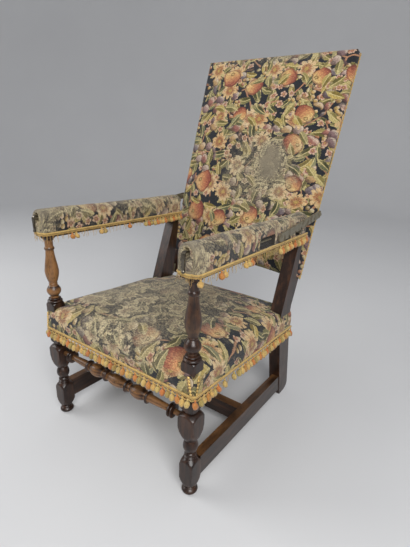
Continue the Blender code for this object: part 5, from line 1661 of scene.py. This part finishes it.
def stretcher_profile():
    """The front stretcher from its middle to its end peg."""
    profile = swell(-0.038, 0.038, 0.0115, 0.019, 24)[12:]
    x = 0.038 + QUIRK
    for width, low, high, steps in STRETCHER_TURNINGS:
        profile += swell(x, x + width, low, high, steps)
        x += width + QUIRK
    rings_width = 2 * STRETCHER_END_RING + QUIRK
    rings = STRETCHER_END - STRETCHER_PEG - rings_width
    profile += tapered((x, 0.0125), ((x + rings) / 2, 0.0111), (rings, 0.0092))
    for start in (rings, rings + STRETCHER_END_RING + QUIRK):
        profile += swell(start, start + STRETCHER_END_RING, 0.012, 0.021, 10)
    peg = rings + rings_width + QUIRK / 2
    return profile + tapered((peg, STRETCHER_PEG_RADIUS), (STRETCHER_END, STRETCHER_PEG_RADIUS))


def turned_piece(name, node, wood, profile, place, worn):
    """A closed turned piece; worn gives how rubbed it is along its length, away from the grooves, with any
    painted highlight added in.
    """
    shape = Shape("wear")
    rings = []
    for z, radius, width in profile:
        slimmest = min(r for h, r, _ in profile if abs(h - z) < GROOVE_REACH)
        rubbed = worn(z) * smooth(slimmest / radius, 0.60, 0.96)
        ring = []
        for c, s in around(TURNED_SIDES):
            reach = radius
            if width:
                reach = min(radius, width / 2 / max(abs(c), abs(s)))
                rubbed = 0.35 * smooth(reach / radius, 0.93, 1.0) * worn(z)
            ring.append(shape.add(place(reach * c, reach * s, z), wear=float(rubbed)))
        rings.append(ring)
    shape.tube(rings)
    mesh = shape.mesh(name)
    outward(mesh)
    mesh.set_sharp_from_angle(angle=SHARP_EDGE)
    add_piece(name, mesh, [wood], "frame", [node])


def make_turned_wood():
    """Front posts and front stretcher with fine turnings; both posts are rubbed on their swells, and the far
    post's upper part is lighter still with painted light.
    """
    for name, side in SIDES:
        turned_piece(
            f"turned_post_{name}", f"front_post_{name}", walnut("walnut_turned_up", GRAIN_UP, True),
            front_post_profile(), lambda a, b, z: in_row(side * POST_X + a, FRONT_Y + b, z),
            # Rubbed swells on both posts; the far post's extra honey above the seat is a painted highlight
            lambda z: 0.34 + (0.62 if side < 0 else 0.16) * smooth(z, 0.43, 0.47),
        )
    half = stretcher_profile()
    whole = [(-x, radius, width) for x, radius, width in reversed(half[1:])] + half
    turned_piece(
        "turned_front_stretcher", "front_stretcher", walnut("walnut_turned_across", GRAIN_ACROSS, True),
        whole, lambda a, b, x: in_row(x, FRONT_Y + a, STRETCHER_HEIGHT + b), lambda x: STRETCHER_WORN,
    )


# Sawn wood and ironwork

# Frame wood under the covers, with no left or right
PLAIN_RAILS = ("seat_rail_front", "seat_rail_rear", "back_rail_bottom", "back_rail_middle", "back_rail_top")
IRON_NODES = (
    "release_lever", "lever_pin", "push_rod", "catch", "catch_pin", "hinge_post_leaf", "hinge_stile_leaf",
    "hinge_pin", "ratchet_bar", "ratchet_bolt",
)
RUBBED_IRON = ("rubbed_iron", (0.50, 0.50, 0.56), 1.0)
FORGED_IRON = ("forged_iron", (1.0, 1.0, 1.0), 0.0)


def dress(name, made, bevel):
    """Give a CAD node its finish and soft worn edges."""
    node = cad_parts[name]
    node.data.materials.clear()
    node.data.materials.append(made)
    softer = node.modifiers.new("Worn edges", "BEVEL")
    softer.width = bevel
    softer.segments = 3
    softer.limit_method = "ANGLE"
    softer.angle_limit = math.radians(40)
    node.modifiers.new("Even light", "WEIGHTED_NORMAL")


def dress_wood():
    """Finish the sawn walnut and the frame wood."""
    upright = walnut("walnut_sawn_up", GRAIN_UP, False)
    deep = walnut("walnut_sawn_deep", GRAIN_DEEP, False)
    for name, _ in SIDES:
        dress(f"rear_post_{name}", upright, 0.0026)
        dress(f"side_stretcher_{name}", deep, 0.0022)
        dress(f"arm_rail_{name}", deep, 0.0012)
        dress(f"seat_rail_{name}", beech(), 0.0012)
        dress(f"back_stile_{name}", upright, 0.0014)
    dress("cross_stretcher", walnut("walnut_sawn_across", GRAIN_ACROSS, False), 0.0022)
    for name in PLAIN_RAILS:
        dress(name, beech(), 0.0012)


def dress_iron():
    """Finish the hinges, ratchet bars, rods and catches, and the levers that hands have polished."""
    for node in IRON_NODES:
        metal = iron(*(RUBBED_IRON if node == "release_lever" else FORGED_IRON))
        for name, _ in SIDES:
            dress(f"{node}_{name}", metal, 0.0005)


# Stage

FLOOR_RADIUS, COVE, WALL_HEIGHT = 4.5, 2.5, 8.0
FLOOR_SIDES = 96
COVE_STEPS = 16
FLOOR_COLOUR = (0.64, 0.64, 0.64)
FLOOR_SHADE = (0.60, 0.60, 0.605)
FILL_COLOUR = (0.93, 0.95, 1.0)
AIR_COLOUR = (0.400, 0.405, 0.415)
LIGHTS_AIM = Vector((0, 0, 0.55))

# Light panels: name, place, size and power as a share of the key's
PANELS = (("key_panel", (2.4, -2.4, 3.0), 2.2, 1.0), ("side_panel", (-2.8, -1.6, 2.2), 2.0, 0.35))

# The photograph's camera
CAMERA_PLACE = (0.7719, -0.9544, 0.9644)
CAMERA_AZIMUTH = math.radians(34.63)
CAMERA_ELEVATION = math.radians(19.8)
CAMERA_ROLL = math.radians(1.85)


def make_floor(stage):
    """A pale floor that sweeps up all round to a wall."""
    profile = [(1.5, 0.0), (3.0, 0.0), (FLOOR_RADIUS, 0.0)]
    for i in range(1, COVE_STEPS + 1):
        angle = math.pi / 2 * i / COVE_STEPS
        profile.append((FLOOR_RADIUS + COVE * math.sin(angle), COVE - COVE * math.cos(angle)))
    profile.append((FLOOR_RADIUS + COVE, WALL_HEIGHT))
    bm = bmesh.new()
    rings = [[bm.verts.new((r * c, r * s, z)) for c, s in around(FLOOR_SIDES)] for r, z in profile]
    bm.faces.new(rings[0])
    for first, second in zip(rings, rings[1:]):
        for k in range(FLOOR_SIDES):
            after = (k + 1) % FLOOR_SIDES
            bm.faces.new((first[k], second[k], second[after], first[after]))
    mesh = bpy.data.meshes.new("studio_floor")
    bm.to_mesh(mesh)
    bm.free()
    mesh.shade_smooth()
    floor = bpy.data.objects.new("studio_floor", mesh)
    bpy.context.scene.collection.objects.link(floor)
    finish = Finish("pale_paper")
    colour = finish.noise(finish.where(), 1.3, 2).ramp((FLOOR_SHADE, tuple(stage.floor)))
    mesh.materials.append(finish.done({"Base Color": colour, "Roughness": 0.85}))
    floor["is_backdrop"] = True


def make_lights(stage):
    """Even fill from all round and soft light from two panels."""
    scene = bpy.context.scene
    world = bpy.data.worlds.new("studio_air")
    scene.world = world
    world.use_nodes = True
    graph = Graph(world.node_tree)
    seen = graph.out(graph.node("LightPath", {}), "Is Camera Ray")
    fill = tuple(stage.fill * channel for channel in FILL_COLOUR)
    air = world.node_tree.nodes["Background"]
    graph.feed(air.inputs["Color"], graph.mix(fill, AIR_COLOUR, seen))
    air.inputs["Strength"].default_value = 1.0
    for name, place, size, share in PANELS:
        light = bpy.data.lights.new(name, "AREA")
        light.size = size
        light.energy = stage.key * share
        obj = bpy.data.objects.new(name, light)
        obj.location = place
        obj.rotation_euler = (LIGHTS_AIM - Vector(place)).to_track_quat("-Z", "Y").to_euler()
        scene.collection.objects.link(obj)


def make_camera(stage):
    """The photograph's camera."""
    scene = bpy.context.scene
    camera = bpy.data.cameras.new("photo_camera")
    camera.sensor_width = 36.0
    camera.lens = stage.lens
    camera.dof.use_dof = False
    obj = bpy.data.objects.new("photo_camera", camera)
    scene.collection.objects.link(obj)
    level = math.cos(CAMERA_ELEVATION)
    back = Vector((
        math.sin(CAMERA_AZIMUTH) * level, -math.cos(CAMERA_AZIMUTH) * level, math.sin(CAMERA_ELEVATION)
    ))
    right = (-back).cross(UP).normalized()
    over = right.cross(-back)
    across = right * math.cos(CAMERA_ROLL) + over * math.sin(CAMERA_ROLL)
    upward = over * math.cos(CAMERA_ROLL) - right * math.sin(CAMERA_ROLL)
    turn_to = Matrix((across, upward, back)).transposed().to_4x4()
    obj.matrix_world = Matrix.Translation(in_row(*CAMERA_PLACE)) @ turn_to
    scene.camera = obj
    scene.view_settings.view_transform = "Standard"


# Add-on


def length(name, description, default):
    """A length that a user may change."""
    return bpy.props.FloatProperty(name=name, description=description, default=default, unit="LENGTH")


def colour_of(name, description, default):
    """A colour that a user may change."""
    return bpy.props.FloatVectorProperty(
        name=name, description=description, default=default, subtype="COLOR", min=0.0, max=1.0
    )


class ArmchairCovers(bpy.types.PropertyGroup):
    seat_crown: length("Seat Crown", "Rise of the seat before it is stuffed", 0.033)
    back_crown: length("Back Crown", "Rise of the back before it is stuffed", 0.026)
    pressure: bpy.props.FloatProperty(
        name="Pressure", description="Stuffing pressure of the covers", default=4.0
    )
    swell: length("Swell", "How far a cover may move while it is stuffed", 0.010)
    ground: colour_of("Ground", "Colour of the needlework's dark ground", GROUND_COLOUR)
    canvas: colour_of("Canvas", "Colour of the canvas where the needlework is worn away", CANVAS_COLOUR)
    rear_linen: colour_of("Rear Linen", "Colour of the cloth behind the back", LINEN_COLOUR)


class ArmchairTrim(bpy.types.PropertyGroup):
    gimp_height: length("Gimp Height", "Height of the woven gimp", 0.0115)
    gimp_pitch: length("Gimp Pitch", "Length of one twist of the gimp", 0.0095)
    tassel_pitch: length("Tassel Pitch", "Distance between tassels", 0.0168)
    tassel_drop: length("Seat Tassel", "Length of the seat's tassels", 0.029)
    arm_drop: length("Arm Tassel", "Length of the arms' tassels", 0.027)
    nail_radius: length("Nail Radius", "Radius of a nail head", 0.0040)
    nail_pitch: length("Nail Pitch", "Distance between nails", 0.0086)
    brass: colour_of("Brass", "Colour of a clean nail head", BRASS_COLOUR)


class ArmchairStage(bpy.types.PropertyGroup):
    lens: bpy.props.FloatProperty(
        name="Lens", description="Focal length in millimetres", default=24.85, subtype="DISTANCE_CAMERA"
    )
    key: bpy.props.FloatProperty(name="Key", description="Power of the key panel in watts", default=150.0)
    fill: bpy.props.FloatProperty(name="Fill", description="Strength of the even fill light", default=0.55)
    floor: colour_of("Floor", "Colour of the pale floor", FLOOR_COLOUR)


class ARMCHAIR_OT_stage(bpy.types.Operator):
    """Make the floor, the lights and the camera"""
    bl_idname = "armchair.stage"
    bl_label = "Stage"

    def execute(self, context):
        stage = context.scene.armchair_stage
        make_floor(stage)
        make_lights(stage)
        make_camera(stage)
        return {"FINISHED"}


class ARMCHAIR_OT_turned_wood(bpy.types.Operator):
    """Turn the front posts and the front stretcher"""
    bl_idname = "armchair.turned_wood"
    bl_label = "Turned Wood"

    def execute(self, context):
        make_turned_wood()
        return {"FINISHED"}


class ARMCHAIR_OT_sawn_wood(bpy.types.Operator):
    """Finish the sawn walnut and the frame wood"""
    bl_idname = "armchair.sawn_wood"
    bl_label = "Sawn Wood"

    def execute(self, context):
        dress_wood()
        return {"FINISHED"}


class ARMCHAIR_OT_ironwork(bpy.types.Operator):
    """Finish the hinges and the ratchet work"""
    bl_idname = "armchair.ironwork"
    bl_label = "Ironwork"

    def execute(self, context):
        dress_iron()
        return {"FINISHED"}


class ARMCHAIR_OT_seat(bpy.types.Operator):
    """Stuff the seat and lace its webbing"""
    bl_idname = "armchair.seat"
    bl_label = "Seat"

    def execute(self, context):
        make_seat(context.scene.armchair_covers)
        make_webbing()
        return {"FINISHED"}


class ARMCHAIR_OT_back(bpy.types.Operator):
    """Stuff the back and stretch its rear cloth"""
    bl_idname = "armchair.back"
    bl_label = "Back"

    def execute(self, context):
        covers = context.scene.armchair_covers
        make_back(covers)
        make_rear_cloth(covers)
        return {"FINISHED"}


class ARMCHAIR_OT_arms(bpy.types.Operator):
    """Stuff the arm pads"""
    bl_idname = "armchair.arms"
    bl_label = "Arms"

    def execute(self, context):
        for name, side in SIDES:
            make_arm(name, side, context.scene.armchair_covers)
        return {"FINISHED"}


class ARMCHAIR_OT_trim(bpy.types.Operator):
    """Sew on the gimp, tassels and nails"""
    bl_idname = "armchair.trim"
    bl_label = "Trimmings"

    def execute(self, context):
        trim = context.scene.armchair_trim
        make_seat_fringe(trim)
        make_arm_fringes(trim)
        make_back_gimp(trim)
        make_nails(trim)
        return {"FINISHED"}


class ARMCHAIR_PT_looks(bpy.types.Panel):
    """Sizes, colours and steps of the armchair's looks"""
    bl_idname = "ARMCHAIR_PT_looks"
    bl_label = "Armchair"
    bl_space_type = "VIEW_3D"
    bl_region_type = "UI"
    bl_category = "Armchair"

    def draw(self, context):
        for name, settings in SETTINGS:
            column = self.layout.column(align=True)
            for key in settings.__annotations__:
                column.prop(getattr(context.scene, name), key)
        for operator in OPERATORS:
            self.layout.operator(operator.bl_idname)


OPERATORS = (
    ARMCHAIR_OT_stage, ARMCHAIR_OT_turned_wood, ARMCHAIR_OT_sawn_wood, ARMCHAIR_OT_ironwork,
    ARMCHAIR_OT_seat, ARMCHAIR_OT_back, ARMCHAIR_OT_arms, ARMCHAIR_OT_trim,
)
SETTINGS = (
    ("armchair_covers", ArmchairCovers), ("armchair_trim", ArmchairTrim), ("armchair_stage", ArmchairStage),
)


def register():
    for name, settings in SETTINGS:
        bpy.utils.register_class(settings)
        setattr(bpy.types.Scene, name, bpy.props.PointerProperty(type=settings))
    for made in (*OPERATORS, ARMCHAIR_PT_looks):
        bpy.utils.register_class(made)


def unregister():
    for made in reversed((*OPERATORS, ARMCHAIR_PT_looks)):
        bpy.utils.unregister_class(made)
    for name, settings in reversed(SETTINGS):
        delattr(bpy.types.Scene, name)
        bpy.utils.unregister_class(settings)


def main():
    """Make every piece, and work out the solid model's box and the visual model's."""
    register()
    bpy.ops.armchair.stage()
    bpy.ops.armchair.turned_wood()
    bpy.ops.armchair.sawn_wood()
    bpy.ops.armchair.ironwork()
    bpy.ops.armchair.seat()
    bpy.ops.armchair.back()
    bpy.ops.armchair.arms()
    bpy.ops.armchair.trim()
    boxes = {"cad": CAD_BOUNDS, "visual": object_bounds()}
    {name: [list(corner) for corner in box] for name, box in boxes.items()}


if __name__ == "__main__":
    main()
